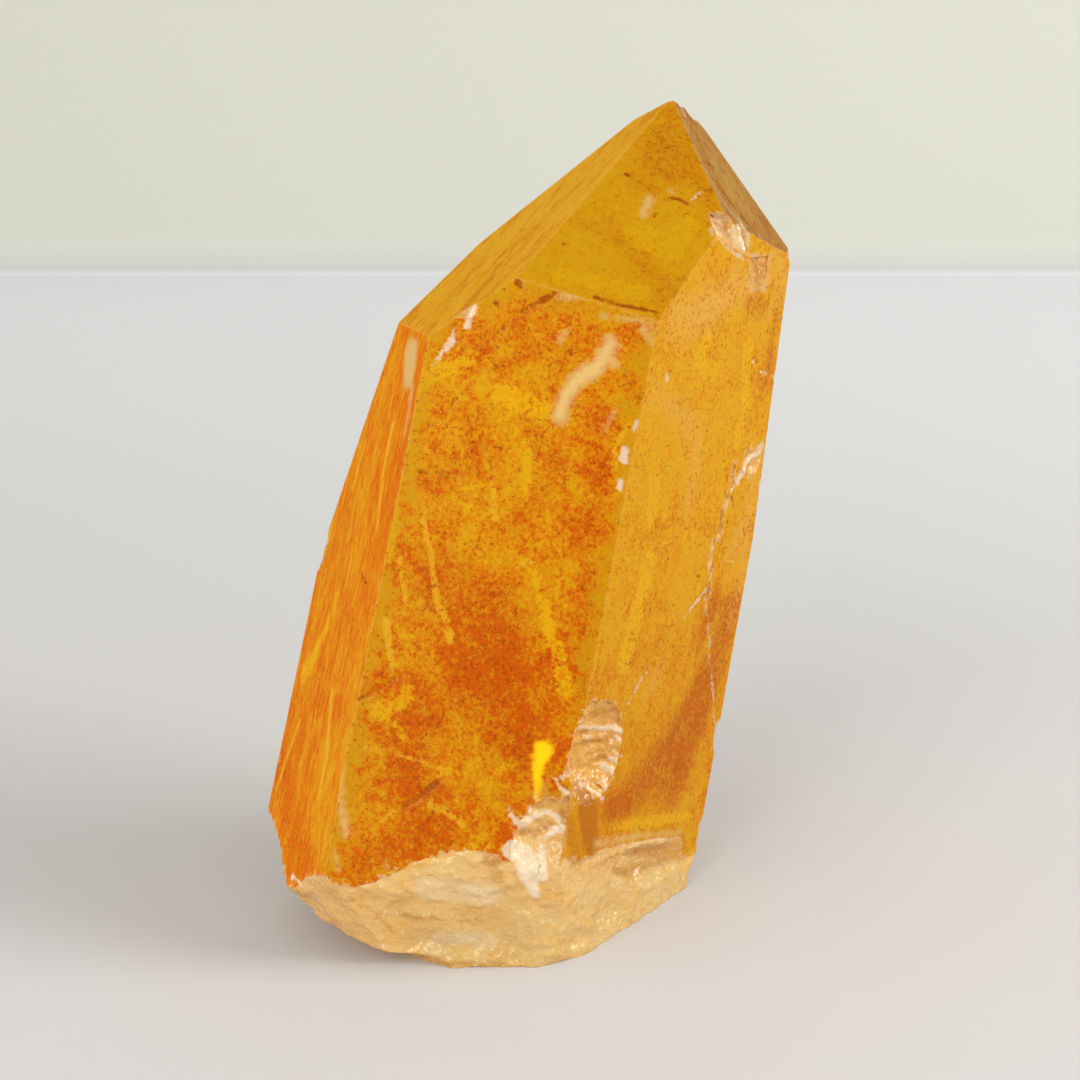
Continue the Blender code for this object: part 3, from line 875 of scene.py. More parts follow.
@dataclass(frozen=True)
class Palette:
    """The colours of the iron stain, of its marks and of the bare crystal."""

    gold: Colour = (0.95, 0.53, 0.004)
    orange: Colour = (0.68, 0.135, 0.0005)
    olive: Colour = (0.72, 0.40, 0.004)
    peach: Colour = (0.95, 0.53, 0.09)
    bare: Colour = (0.90, 0.65, 0.24)
    frost: Colour = (0.97, 0.82, 0.58)
    rust: Colour = (0.42, 0.060, 0.001)
    seam: Colour = (0.96, 0.57, 0.02)
    # Colour of the painted glow in the bright spot.
    glow: Colour = (1.0, 0.62, 0.004)
    amber: Colour = (0.66, 0.27, 0.004)
    # Colour of the umber marks, which are partly painted shade.
    umber: Colour = (0.58, 0.17, 0.002)

    def with_painted_shade(self, share: float) -> "Palette":
        """The same colours, each at a share of its brightness: a darker copy of the stain that paints shade
        onto a face.
        """
        return Palette(*(tuple(share * part for part in getattr(self, item.name)) for item in fields(self)))

    def of(self, ink: Ink) -> Colour:
        """The colour that has an ink's name."""
        return getattr(self, ink.value)


@dataclass(frozen=True)
class Fray:
    """How a mark frays: how far its rim strays, from where to where it fades in, in millimetres
    past the rim, and the share of its colour or effect that is laid on."""

    stray: float
    start: float
    full: float
    share: float = 1.0


FRAYS = {
    Ink.BARE: Fray(0.6, 0.32, -0.85, 0.88),
    Ink.FROST: Fray(0.45, 0.16, -0.16, 0.9),
    Ink.RUST: Fray(0.4, 0.14, -0.12, 0.85),
    Ink.YOLK: Fray(0.8, 0.30, -0.35, 0.45),
    Ink.SEAM: Fray(0.3, 0.22, -0.10, 0.65),
    Ink.DEEP: Fray(1.6, 1.5, -1.3),
    Ink.HAZE: Fray(1.6, 1.8, -1.8, 0.75),
    Ink.GLOW: Fray(0.5, 0.15, -0.6),
    Ink.AMBER: Fray(0.9, 0.45, -0.45, 0.75),
    Ink.UMBER: Fray(0.6, 0.3, -0.4, 0.8),
}
# Frays of scar rims and sharp edges on flat faces, then of the marks on broken ones.
SCARRED = Fray(1.2, 0.24, -0.20, 0.5)
# A pale line along sharp edges: partly real, partly a painted edge highlight.
WORN_AND_LIT = Fray(0.2, 0.24, 0.04)
PATCH = Fray(1.1, 0.5, -0.6)
CRACK = Fray(0.2, 0.14, -0.10)
CRUST = Fray(0.5, 0.22, -0.25)
# The most that film covers, how much fine grain roughens a face, and a cloud's middle value.
MOST_FILM = 0.97
GRAINY = 0.12
CLOUD_MEAN = 0.5


@dataclass(frozen=True)
class StainedFace:
    """Iron stain that lies as a thin cloudy film on a crystal face.

    The tone runs from gold at 0 to orange at 1. Sizes are in millimetres.
    """

    name: str
    palette: Palette = Palette()
    tone: float = 0.4
    swing: float = 1.0
    depth: float = 0.2
    foot_tone: float = 0.0
    foot_heights: tuple[float, float] = (52.0, 18.0)
    # Share of peach haze all over: frosting, and partly a painted sheen.
    haze: float = 0.0
    olive: float = 0.0
    margin: float = 0.0
    cover: float = 0.72
    thin: float = 0.32
    stretch: float = 1.0
    grain: tuple[float, float, float] = UPWARD
    broad: float = 7.0
    middle: float = 1.7
    fine: float = 0.45
    ragged: float = 0.9
    mottle: tuple[float, float, float] = (1.6, 1.9, 2.4)
    stray: tuple[float, float] = (1.6, 2.0)
    threads: float = 0.35
    specks: float = 1.0
    crowd: float = 0.0
    # Share of the pale line along sharp edges, which is partly a painted edge highlight.
    wear_and_highlight: float = 0.6
    # Share of painted glow that lifts the face away from its bare windows.
    glow: float = 0.0
    polish: float = 0.10
    dull: float = 0.2
    shine: float = 0.07
    ripple: float = 0.01

    def material(self) -> bpy.types.Material:
        """The face's material.

        Returns:
            The material.
        """
        bench = Bench(self.name)
        tones = self.palette
        place = bench.crystal_place()
        drawn = self._drawn_out(bench, place)
        broad = bench.cloud(drawn, self.broad, 4.0, 0.6, 0.5)
        middle = bench.cloud(drawn, self.middle, 4.0, 0.7, 0.5)
        fine = bench.cloud(drawn, self.fine, 2.0, 0.8)
        ragged = bench.cloud(place, self.ragged, 3.0, 0.7)
        wander = (middle - CLOUD_MEAN) * self.stray[0] + (ragged - CLOUD_MEAN) * self.stray[1]
        marks = {ink: bench.frayed(ink.value, wander, fray) for ink, fray in FRAYS.items()}
        tone = (broad - CLOUD_MEAN) * self.mottle[0] + (middle - CLOUD_MEAN) * self.mottle[1]
        tone = (tone + (fine - CLOUD_MEAN) * self.mottle[2]) * self.swing + self._base_tone(bench, place)
        tone = tone + marks[Ink.DEEP] * self.depth - marks[Ink.YOLK] * FRAYS[Ink.YOLK].share
        tone = tone - self._veils(bench, drawn, ragged) * self.threads
        colour = bench.mix(tone.spread(0.0, 1.0), tones.gold, tones.orange)
        swirl = wander + (broad - CLOUD_MEAN) * 2.0
        colour = bench.mix(self._olive(bench, swirl), colour, tones.olive)
        colour = self._laid(bench, colour, marks, Ink.AMBER, Ink.UMBER, Ink.SEAM)
        # Peach haze, partly a painted sheen, and the pale line along sharp edges.
        haze_and_sheen_share = marks[Ink.HAZE] * FRAYS[Ink.HAZE].share + self.haze
        haze_and_sheen_share = haze_and_sheen_share * (broad * 0.6 + ragged * 0.4).clear_of(0.28, 0.60)
        colour = bench.mix((haze_and_sheen_share | self._worn_and_lit_edges(bench, wander, ragged)) & 1.0, colour, tones.peach)
        marks[Ink.RUST] |= self._grit(bench, place, broad + middle + marks[Ink.DEEP] * self.depth)
        colour = self._laid(bench, colour, marks, Ink.RUST, Ink.BARE)
        marks[Ink.FROST] |= bench.frayed(RIM, wander, SCARRED) * SCARRED.share
        # The frost is laid with its painted highlights, then the bright spot's painted glow.
        colour = self._laid(bench, colour, marks, Ink.FROST, Ink.GLOW)
        bare = marks[Ink.BARE]
        dense = (broad * 0.3 + middle * 0.4 + fine * 0.3).clear_of(0.36, 0.60)
        cover = (dense * 0.2 + self.cover | bare * 0.9) & MOST_FILM
        # Where the film emits painted glow: in the bright spot, and off the bare windows by the face's
        # share.
        light = marks[Ink.GLOW] | (1.0 - bare * 0.85) * self.glow
        normal = bench.bump(fine, self.ripple)
        rough = fine * GRAINY + self.polish
        film = BODY.film(bench, colour, rough + self.dull, normal, self.shine, self.thin, light)
        clear = BODY.clear(bench, colour, rough, normal, self.shine)
        return bench.finish(bench.both(cover, clear, film), BODY.volume(bench))

    def _laid(self, bench: Bench, colour: Wire, marks: dict, *inks: Ink) -> Wire:
        """The colour with the marks of some inks laid over it.

        Args:
            bench: The material's bench.
            colour: The colour below.
            marks: The share of each ink's marks.
            inks: The inks, lowest first.

        Returns:
            The new colour.
        """
        for ink in inks:
            colour = bench.mix(marks[ink] * FRAYS[ink].share, colour, self.palette.of(ink))
        return colour

    @staticmethod
    def _veils(bench: Bench, place: Wire, ragged: Wire) -> Wire:
        """Thin winding veils.

        Args:
            bench: The material's bench.
            place: The drawn-out place.
            ragged: The cloud that breaks the veils up.

        Returns:
            The veils' share.
        """
        vein = bench.cloud(place, 3.4, 2.0, 0.55, 0.9)
        thread = (vein - CLOUD_MEAN).math("ABSOLUTE").clear_of(0.022, 0.004)
        return thread * ragged.clear_of(0.46, 0.60)

    def _drawn_out(self, bench: Bench, place: Wire) -> Wire:
        """Place squeezed along the grain, so that patterns come out drawn along it.

        Args:
            bench: The material's bench.
            place: The shaded point.

        Returns:
            The squeezed place.
        """
        squeeze = bench.along(place, self.grain) * (1.0 - 1.0 / self.stretch)
        slack = bench.vector("SCALE", {0: self.grain, "Scale": squeeze})
        return bench.vector("SUBTRACT", {0: place, 1: slack})

    def _base_tone(self, bench: Bench, place: Wire) -> Wire:
        """The face's tone by height."""
        return bench.along(place, UPWARD).clear_of(*self.foot_heights) * self.foot_tone + self.tone

    def _olive(self, bench: Bench, swirl: Wire) -> Wire:
        """How far the tone turns olive: all over, and along the face's edges.

        Args:
            bench: The material's bench.
            swirl: The cloud that the olive follows.

        Returns:
            The olive's share.
        """
        if not self.margin:
            return swirl * 0.25 + self.olive
        return bench.frayed(EDGE, swirl, Fray(2.2, self.margin * 1.5, 0.0)) * 0.65 + self.olive

    def _grit(self, bench: Bench, place: Wire, crowd: Wire) -> Wire:
        """Rust-brown grit and dots, thickest where the crowd value is high.

        Args:
            bench: The material's bench.
            place: The shaded point.
            crowd: The value that it gathers by.

        Returns:
            The grit's share.
        """
        grit = bench.cloud(place, 0.5, 3.0, 0.75)
        grit = (grit + crowd * 0.20 + self.crowd).clear_of(0.80, 0.92) * (0.85 * self.specks)
        dots = bench.cloud(place, 0.34, 1.0, 0.5)
        return grit | (dots + crowd * 0.05 + self.crowd).clear_of(0.76, 0.84) * self.specks

    def _worn_and_lit_edges(self, bench: Bench, wander: Wire, ragged: Wire) -> Wire:
        """Pale worn line along the sharp edges, partly real and partly a painted edge highlight."""
        return bench.frayed(EDGE, wander, WORN_AND_LIT) * ragged.clear_of(0.38, 0.60) * self.wear_and_highlight


@dataclass(frozen=True)
class BrokenQuartz:
    """The fractured foot and the scars: clear quartz with a frost of fine cracks."""

    name: str = "broken_quartz"
    palette: Palette = Palette()
    foot: Colour = (1.0, 0.69, 0.25)
    scar: Colour = (0.93, 0.52, 0.08)
    tan: Colour = (0.83, 0.43, 0.05)
    pale: Colour = (1.0, 0.80, 0.46)
    scar_heights: tuple[float, float] = (11.0, 17.0)
    layers: float = 2.8
    cover: float = 0.72
    thin: float = 0.36
    polish: float = 0.05
    dull: float = 0.03
    shine: float = 0.9
    # Share of painted glow on the broken surfaces, an emission that stands in for light coming through
    # them.
    light: float = 0.22
    pebble: float = 0.5
    pebble_height: float = 0.14

    def material(self) -> bpy.types.Material:
        """The material of broken surfaces.

        Returns:
            The material.
        """
        bench = Bench(self.name)
        tones = self.palette
        place = bench.crystal_place()
        height = bench.along(place, UPWARD)
        squeeze = bench.vector("SCALE", {0: UPWARD, "Scale": height * (self.layers - 1.0)})
        layered = bench.vector("ADD", {0: place, 1: squeeze})
        broad = bench.cloud(place, 3.5, 3.0, 0.6)
        wisps = bench.cloud(layered, 2.0, 4.0, 0.65, 0.7)
        fine = bench.cloud(place, 0.30, 2.0, 0.75)
        pebbles = bench.cloud(place, self.pebble, 2.0, 0.6)
        wander = (wisps - CLOUD_MEAN) * 1.6 + (fine - CLOUD_MEAN) * 1.2
        relief = bench.mark(RELIEF) + (fine - CLOUD_MEAN) * 0.05
        colour = bench.mix((height + wander * 4.0).clear_of(*self.scar_heights), self.foot, self.scar)
        colour = bench.mix(broad.clear_of(0.44, 0.62) * 0.45, colour, tones.peach)
        colour = bench.mix(wisps.clear_of(0.50, 0.66) * 0.4, colour, self.tan)
        # Painted shade: tan laid in the hollows of the broken relief.
        colour = bench.mix(relief.clear_of(-0.01, -0.07) * 0.35, colour, self.tan)
        # Patches laid from the marks; the umber ones, and the amber in the scoop's recesses, are painted
        # shade.
        for ink, paint, share in ((Ink.BARE, self.pale, 0.7), (Ink.AMBER, tones.amber, 0.7),
                                  (Ink.YOLK, tones.gold, 0.6), (Ink.UMBER, tones.umber, 0.8)):
            colour = bench.mix(bench.frayed(ink.value, wander, PATCH) * share, colour, paint)
        dust = (fine + wisps * 0.3).clear_of(0.86, 0.93) * 0.6
        colour = bench.mix(dust | bench.frayed(Ink.RUST.value, wander, CRACK), colour, tones.rust)
        crust = bench.frayed(Ink.FROST.value, wander, CRUST)
        crust = crust * (broad + fine * 0.5).clear_of(0.4, 0.9).spread(-1.5, 1.0)
        # White: frost marks, a painted highlight on the raised ridges, and painted glints on the pebbled
        # grain.
        white = crust | relief.clear_of(0.015, 0.08) * 0.6 | pebbles.clear_of(0.58, 0.70) * 0.45
        colour = bench.mix(white, colour, tones.frost)
        normal = bench.bump(pebbles, self.pebble_height)
        rough = fine * GRAINY + self.polish
        film = BODY.film(bench, colour, rough + self.dull, normal, self.shine, self.thin, self.light)
        clear = BODY.clear(bench, bench.mix(0.4, colour, WHITE), rough, normal, self.shine)
        cover = (wisps.clear_of(0.36, 0.62) * 0.15 + white * 0.2 + self.cover) & MOST_FILM
        return bench.finish(bench.both(cover, clear, film), BODY.volume(bench))


# ---------------------------------------------------------------- the crystal


@dataclass(frozen=True)
class Ripples:
    """Shell-shaped rings on a broken surface, round the point that it was struck from."""

    strike: tuple[float, float, float]
    reach: float
    pitch: float
    depth: float
    stray: float = 0.5
    stray_size: float = 2.5
    fading: float = 2.5

    def drop(self, place: Vector) -> float:
        """How far the surface drops at a place.

        Args:
            place: A place in the crystal's frame.

        Returns:
            The drop in millimetres.
        """
        away = (place - Vector(self.strike)).length
        wave = away / self.pitch + self.stray * noise.noise(place / self.stray_size)
        fade = max(0.0, 1.0 - away / self.reach)
        return self.depth * (0.5 - 0.5 * math.cos(math.tau * wave)) * min(1.0, self.fading * fade)


RIPPLES = {
    "scoop": Ripples((8.2, -16.0, 28.5), 16.0, 1.7, 0.24),
    "front scar": Ripples((6.0, -20.0, 18.0), 10.0, 1.5, 0.2),
    "front foot": Ripples((-2.0, -19.0, 12.5), 15.0, 1.9, 0.14),
    "left foot": Ripples((-22.0, -8.0, 4.0), 12.0, 1.6, 0.14),
    "right foot": Ripples((12.0, -12.0, 13.0), 13.0, 1.3, 0.10),
    "back foot": Ripples((-4.0, 20.0, 16.0), 22.0, 2.4, 0.24),
    "back edge": Ripples((10.0, 19.5, 33.0), 14.0, 1.9, 0.24),
    "left back edge": Ripples((-12.0, 19.0, 52.0), 11.0, 1.6, 0.18),
}


@dataclass(frozen=True)
class FrostLine:
    """A line on a flat face, in the face's own millimetres, below which the face is frosted."""

    facet: Facet
    points: tuple

    def height(self, across: float) -> float:
        """How high the line runs at a place across, or nowhere beyond its ends."""
        spans, heights = zip(*self.points)
        return float(np.interp(across, spans, heights, left=-math.inf, right=-math.inf))


FROST_LINES = (
    FrostLine(MAIN_FACET[Zone.FRONT], (
        (-9.4, 3.2), (-8.7, 3.9), (-8, 5.2), (-6.4, 6.5), (-5, 7.4), (-4, 7.7), (-2.6, 8.5),
        (-1.2, 8.9), (0.3, 9.2), (1.7, 9), (2.4, 8.2), (3.6, 6))),
    FrostLine(MAIN_FACET[Zone.RIGHT], (
        (-12, 10.3), (-10.4, 10.1), (-8.3, 9.8), (-6.3, 9.9), (-5, 10.5), (-0.7, 10.8), (3.6, 11),
        (9.1, 11.1), (13.1, 10.9), (13.7, 10.2), (13.9, 8.6), (14.5, 8.3), (18, 9))),
)


# Lines on the ground, in the row frame's millimetres, that the foot's corners are drawn in behind.
FOOT_CORNERS = (
    ((-13.5, -17.9), (-10.9, -20.6)),
    ((-10.9, -20.6), (-7.6, -22.9)),
    ((1.0, -22.2), (5.2, -19.6)),
)


@dataclass(frozen=True)
class EdgeChips:
    """Small bites out of the sharp edges: where they may lie, and the size and shape of a lump."""

    seed: int = 7
    sharp: float = 20.0
    least: float = 3.0
    gap: tuple[float, float] = (1.4, 7.0)
    room: float = 2.5
    size: tuple[float, float] = (0.16, 0.55)
    shrink: tuple[float, float] = (0.6, 1.0)
    slimness: tuple[float, float] = (1.2, 2.6)
    breadth: float = 1.2
    bite: float = 0.42
    bite_share: tuple[float, float] = (0.4, 1.0)
    lumps: float = 0.28
    lump_pitch: float = 1.3
    lump_shift: float = 99.0

    def cutter(self, bm: bmesh.types.BMesh) -> bpy.types.Object:
        """One mesh of separate lumps along the edges between flat faces.

        Args:
            bm: The crystal's mesh.

        Returns:
            The cutter.
        """
        dice = random.Random(self.seed)
        tools = bmesh.new()
        for edge in bm.edges:
            if not self._takes_chips(edge):
                continue
            start, end = (vert.co / MM for vert in edge.verts)
            length = (end - start).length
            out = sum((face.normal for face in edge.link_faces), Vector()).normalized()
            spot = dice.uniform(*self.gap)
            while spot < length - self.gap[0]:
                size = dice.uniform(*self.size) * dice.uniform(*self.shrink)
                slim = dice.uniform(*self.slimness)
                self._add_lump(tools, start.lerp(end, spot / length), out, end - start, size, slim, dice)
                spot += size * slim * self.room + dice.uniform(*self.gap)
        bmesh.ops.scale(tools, vec=(MM, MM, MM), verts=tools.verts)
        return put_mesh("edge_chips", tools)

    def _takes_chips(self, edge: bmesh.types.BMEdge) -> bool:
        """True for a long sharp edge between two flat faces."""
        sharp = edge.calc_face_angle() > math.radians(self.sharp)
        return sharp and not is_on_broken(edge) and edge.calc_length() > self.least * MM

    def _add_lump(self, tools: bmesh.types.BMesh, spot: Vector, out: Vector, run: Vector,
                  size: float, slim: float, dice: random.Random) -> None:
        """Add one lump that reaches a little way into the edge.

        Args:
            tools: The mesh that it is added to.
            spot: The point of the edge.
            out: The way out of the edge.
            run: The way along the edge.
            size: The lump's half height.
            slim: How many times longer it is than high.
            dice: The random numbers.
        """
        side = out.cross(run).normalized()
        axes = Matrix((side, run.normalized(), out)).transposed().to_4x4()
        made = bmesh.ops.create_icosphere(tools, subdivisions=2, radius=1.0)["verts"]
        shift = Vector((dice.uniform(0.0, self.lump_shift), 0.0, 0.0))
        for vert in made:
            vert.co *= 1.0 + self.lumps * noise.noise(vert.co * self.lump_pitch + shift)
            vert.co = Vector((vert.co.x * size * self.breadth, vert.co.y * size * slim, vert.co.z * size))
        centre = spot + out * size * (1.0 - self.bite * dice.uniform(*self.bite_share))
        bmesh.ops.transform(tools, matrix=Matrix.Translation(centre) @ axes, verts=made)


@dataclass
class QuartzPoint:
    """The crystal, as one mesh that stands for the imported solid. Lengths are in millimetres."""

    finishes: dict
    chips: EdgeChips = EdgeChips()
    weld: float = 0.002
    flat_angle: float = 0.3
    grids: tuple[float, float] = (0.40, 0.9)
    frost_room: float = 0.6
    rounds: int = 5
    grains: tuple[float, float] = (0.27, 0.48)
    front_normal: float = -0.1
    lump_size: float = 2.6
    lump: float = 0.30
    ridge: float = 0.22
    ridge_slope: float = 0.5
    grit_size: float = 0.7
    grit: float = 0.12
    ragged: float = 0.45
    ragged_waves: tuple = ((1.9, 1.0), (0.6, 0.6))
    settled: float = 1.4
    floor_gap: float = 0.02
    facing: float = 0.05
    edge_angle: float = 8.0
    groove: float = 0.22
    groove_rim: float = 0.25
    groove_slope: float = 0.5
    groove_least: float = 0.35
    groove_size: float = 0.5

    def build(self) -> bpy.types.Object:
        """Make the piece and dress it.

        Returns:
            The piece.
        """
        bm = bmesh.new()
        bm.from_mesh(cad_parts[NODE].data)
        self.clean(bm)
        self.sort_faces(bm)
        bm = self.chipped(bm)
        self.clean(bm)
        self.sort_faces(bm)
        self.score(bm)
        for line in FROST_LINES:
            self.frost_foot(bm, line)
        self.refine_broken(bm)
        marks = self.marks(bm)
        marks[RELIEF] = self.roughen(bm, marks[Ink.FROST.value])
        self.sink_grooves(bm, marks)
        bmesh.ops.triangulate(bm, faces=[face for face in bm.faces if len(face.verts) > 4])
        piece = put_mesh(PIECE, bm)
        for name, gaps in marks.items():
            values = piece.data.attributes.new(name, "FLOAT", "POINT")
            values.data.foreach_set("value", gaps.astype(np.float32))
        for zone in Zone:
            piece.data.materials.append(self.finishes[zone].material())
        return piece

    def clean(self, bm: bmesh.types.BMesh) -> None:
        """Weld the mesh and make its flat faces whole.

        Args:
            bm: The mesh.
        """
        bmesh.ops.remove_doubles(bm, verts=bm.verts, dist=self.weld * MM)
        flat = math.radians(self.flat_angle)
        bmesh.ops.dissolve_limit(bm, angle_limit=flat, verts=bm.verts, edges=bm.edges)

    def sort_faces(self, bm: bmesh.types.BMesh) -> None:
        """Give each face the slot of its zone.

        Args:
            bm: The mesh.
        """
        bm.normal_update()
        for face in bm.faces:
            zone = next((facet.zone for facet in FACETS if facet.holds(face)), Zone.BROKEN)
            face.material_index = zone.value
            face.smooth = zone is Zone.BROKEN

    def chipped(self, bm: bmesh.types.BMesh) -> bmesh.types.BMesh:
        """The mesh with its edges chipped.

        Args:
            bm: The whole mesh, which can't be used afterwards.

        Returns:
            The chipped mesh.
        """
        cutter = self.chips.cutter(bm)
        whole = put_mesh("whole", bm)
        cut = whole.modifiers.new("chips", "BOOLEAN")
        cut.operation = "DIFFERENCE"
        cut.solver = "EXACT"
        cut.object = cutter
        evaluated = whole.evaluated_get(bpy.context.evaluated_depsgraph_get())
        chipped = bmesh.new()
        chipped.from_mesh(evaluated.to_mesh())
        bpy.data.objects.remove(whole, do_unlink=True)
        bpy.data.objects.remove(cutter, do_unlink=True)
        return chipped

    def score(self, bm: bmesh.types.BMesh) -> None:
        """Cut the flat faces into a fine grid along their own two directions, coarser at the back.

        Args:
            bm: The mesh.
        """
        for facet in FACETS:
            step = self.grids[facet.zone is Zone.BACK]
            faces = [face for face in bm.faces if facet.holds(face)]
            for axis in facet.axes()[:2]:
                heights = [axis.dot(STANCE.to_crystal(vert.co)) for face in faces for vert in face.verts]
                if heights:
                    lines = np.arange(min(heights) + step, max(heights), step).tolist()
                    faces = self._slice(bm, faces, axis, lines)

    def _slice(self, bm: bmesh.types.BMesh, faces: list, axis: Vector, lines: list) -> list:
        """Cut some faces along lines at given heights, the middle line first.

        Args:
            bm: The mesh.
            faces: Its faces to cut.
            axis: The way that heights are measured.
            lines: The heights, rising.

        Returns:
            The faces that they have become.
        """
        if not faces or not lines:
            return faces
        middle = len(lines) // 2
        height = lines[middle]
        below, above = [], []
        for face in cut_through(bm, faces, axis * height, axis):
            centre = STANCE.to_crystal(face.calc_center_median())
            (above if axis.dot(centre) > height else below).append(face)
        low = self._slice(bm, below, axis, lines[:middle])
        return low + self._slice(bm, above, axis, lines[middle + 1:])

    def frost_foot(self, bm: bmesh.types.BMesh, line: FrostLine) -> None:
        """Turn a flat face into broken surface below its frost line.

        Args:
            bm: The mesh.
            line: The frost line and its face.
        """
        across, up, out = line.facet.axes()
        for start, end in zip(line.points, line.points[1:]):
            along = across * (end[0] - start[0]) + up * (end[1] - start[1])
            near = [face for face in bm.faces
                    if line.facet.holds(face) and self._is_beside(face, across, up, start, end)]
            cut_through(bm, near, across * start[0] + up * start[1], out.cross(along).normalized())
        for face in bm.faces:
            if line.facet.holds(face):
                place = STANCE.to_crystal(face.calc_center_median())
                if up.dot(place) < line.height(across.dot(place)):
                    face.material_index = Zone.BROKEN.value
                    face.smooth = True

    def _is_beside(self, face: bmesh.types.BMFace, across: Vector, up: Vector, start: tuple,
                   end: tuple) -> bool:
        """True for a face that a piece of a frost line may cross.

        Args:
            face: The face of the mesh.
            across: The way across the crystal face.
            up: The way up along it.
            start: Where the piece of line starts.
            end: Where it ends.

        Returns:
            Whether it may.
        """
        place = STANCE.to_crystal(face.calc_center_median())
        low, high = sorted((start[1], end[1]))
        room = self.frost_room
        return (start[0] - room < across.dot(place) < end[0] + room
                and low - room < up.dot(place) < high + room)

    def refine_broken(self, bm: bmesh.types.BMesh) -> None:
        """Divide the broken faces until their edges are short, and shortest at the front.

        Args:
            bm: The mesh.
        """
        for _ in range(self.rounds):
            long = [edge for edge in bm.edges if self._is_coarse(edge)]
            if not long:
                break
            bmesh.ops.subdivide_edges(bm, edges=long, cuts=1, use_grid_fill=False)
            broken = [face for face in bm.faces if is_broken(face) and len(face.verts) > 3]
            bmesh.ops.triangulate(bm, faces=broken)

    def _is_coarse(self, edge: bmesh.types.BMEdge) -> bool:
        """True for a broken face's edge that is still longer than its grain.

        Args:
            edge: An edge of the mesh.

        Returns:
            Whether it is.
        """
        length = edge.calc_length() / MM
        if length < self.grains[0] or not is_on_broken(edge):
            return False
        middle = (edge.verts[0].co + edge.verts[1].co) / 2.0
        front = edge.link_faces[0].normal.y < self.front_normal and middle.z > self.floor_gap * MM
        return length > self.grains[0 if front else 1]

    def roughen(self, bm: bmesh.types.BMesh, frost: np.ndarray) -> np.ndarray:
        """Work lumps, rings, grit and frosted ridges into the broken faces, whose borders stay.

        Args:
            bm: The mesh.
            frost: How far each vertex lies from the frosted marks, in millimetres.

        Returns:
            How far each vertex stands above the ones around it, in millimetres.
        """
        bm.normal_update()
        bm.verts.index_update()
        heights = np.zeros(len(bm.verts))
        relief = np.zeros(len(bm.verts))
        inner = [vert for vert in bm.verts if all(is_broken(face) for face in vert.link_faces)]
        for vert in inner:
            risen = min(max(0.5 - frost[vert.index] / self.ridge_slope, 0.0), 1.0)
            heights[vert.index] = self._height(STANCE.to_crystal(vert.co)) + self.ridge * risen
        for vert in inner:
            around = [edge.other_vert(vert).index for edge in vert.link_edges]
            relief[vert.index] = heights[vert.index] - heights[around].mean()
        normals = {vert: vert.normal.copy() for vert in inner}
        for vert, normal in normals.items():
            grounded = vert.co.z < self.floor_gap * MM
            place = STANCE.to_crystal(vert.co)
            vert.co += normal * heights[vert.index] * MM
            if grounded:
                wave = sum(share * noise.noise(place / size) for size, share in self.ragged_waves)
                vert.co += Vector((normal.x, normal.y, 0.0)) * self.ragged * wave * MM
            self._settle(vert)
            if grounded or vert.co.z < 0.0:
                vert.co.z = 0.0
        return relief

    def _settle(self, vert: bmesh.types.BMVert) -> None:
        """Draw a vertex near the ground in behind the lines that round the foot's corners.

        Args:
            vert: A vertex of the foot.
        """
        share = 1.0 - vert.co.z / (self.settled * MM)
        for start, end in FOOT_CORNERS:
            run = (Vector(end) - Vector(start)).normalized()
            out = Vector((run.y, -run.x, 0.0))
            past = out.dot(vert.co - Vector((*start, 0.0)) * MM)
            if past > 0.0 and share > 0.0:
                vert.co -= out * past * share

    def _height(self, place: Vector) -> float:
        """How far a broken surface stands out at a place, in millimetres.

        Args:
            place: A place in the crystal's frame.

        Returns:
            The height, less than 0 in a hollow.
        """
        lump = self.lump * noise.noise(place / self.lump_size)
        grit = self.grit * noise.noise(place / self.grit_size)
        return lump + grit - sum(rings.drop(place) for rings in RIPPLES.values())

    def marks(self, bm: bmesh.types.BMesh) -> dict:
        """Distance from each vertex to the nearest mark of each ink, to the nearest broken
        surface and to the nearest edge, in millimetres.

        Args:
            bm: The mesh.

        Returns:
            The distances by name, one for each vertex.
        """
        bm.verts.index_update()
        places = np.array([STANCE.to_crystal(vert.co) for vert in bm.verts])
        normals = np.array([vert.normal for vert in bm.verts])
        gaps = {ink.value: np.full(len(places), FAR) for ink in Ink}
        slots = [{face.material_index for face in vert.link_faces} for vert in bm.verts]
        broken = np.array([Zone.BROKEN.value in found for found in slots])
        for facet in FACETS:
            across, up, _ = (places @ np.array(axis) for axis in facet.axes())
            on_face = np.array([facet.zone.value in found for found in slots])
            on_face |= broken & (normals @ np.array(facet.row_normal) > self.facing)
            for stroke in STROKES:
                if stroke.zone is facet.zone:
                    gap = np.where(on_face, stroke.distance(across, up), FAR)
                    gaps[stroke.ink.value] = np.minimum(gaps[stroke.ink.value], gap)
        rims = [vert.co for vert, found in zip(bm.verts, slots)
                if len(found) > 1 and Zone.BROKEN.value in found]
        gaps[RIM] = self._gaps(bm, rims)
        gaps[EDGE] = self._gaps(bm, self._edge_points(bm))
        return gaps

    def _edge_points(self, bm: bmesh.types.BMesh) -> list:
        """Ends and middles of the sharp edges between flat faces.

        Args:
            bm: The mesh.

        Returns:
            Points in the row frame.
        """
        points = []
        for edge in bm.edges:
            if edge.calc_face_angle(0.0) > math.radians(self.edge_angle) and not is_on_broken(edge):
                start, end = (vert.co for vert in edge.verts)
                points += [start, end, (start + end) / 2.0]
        return points

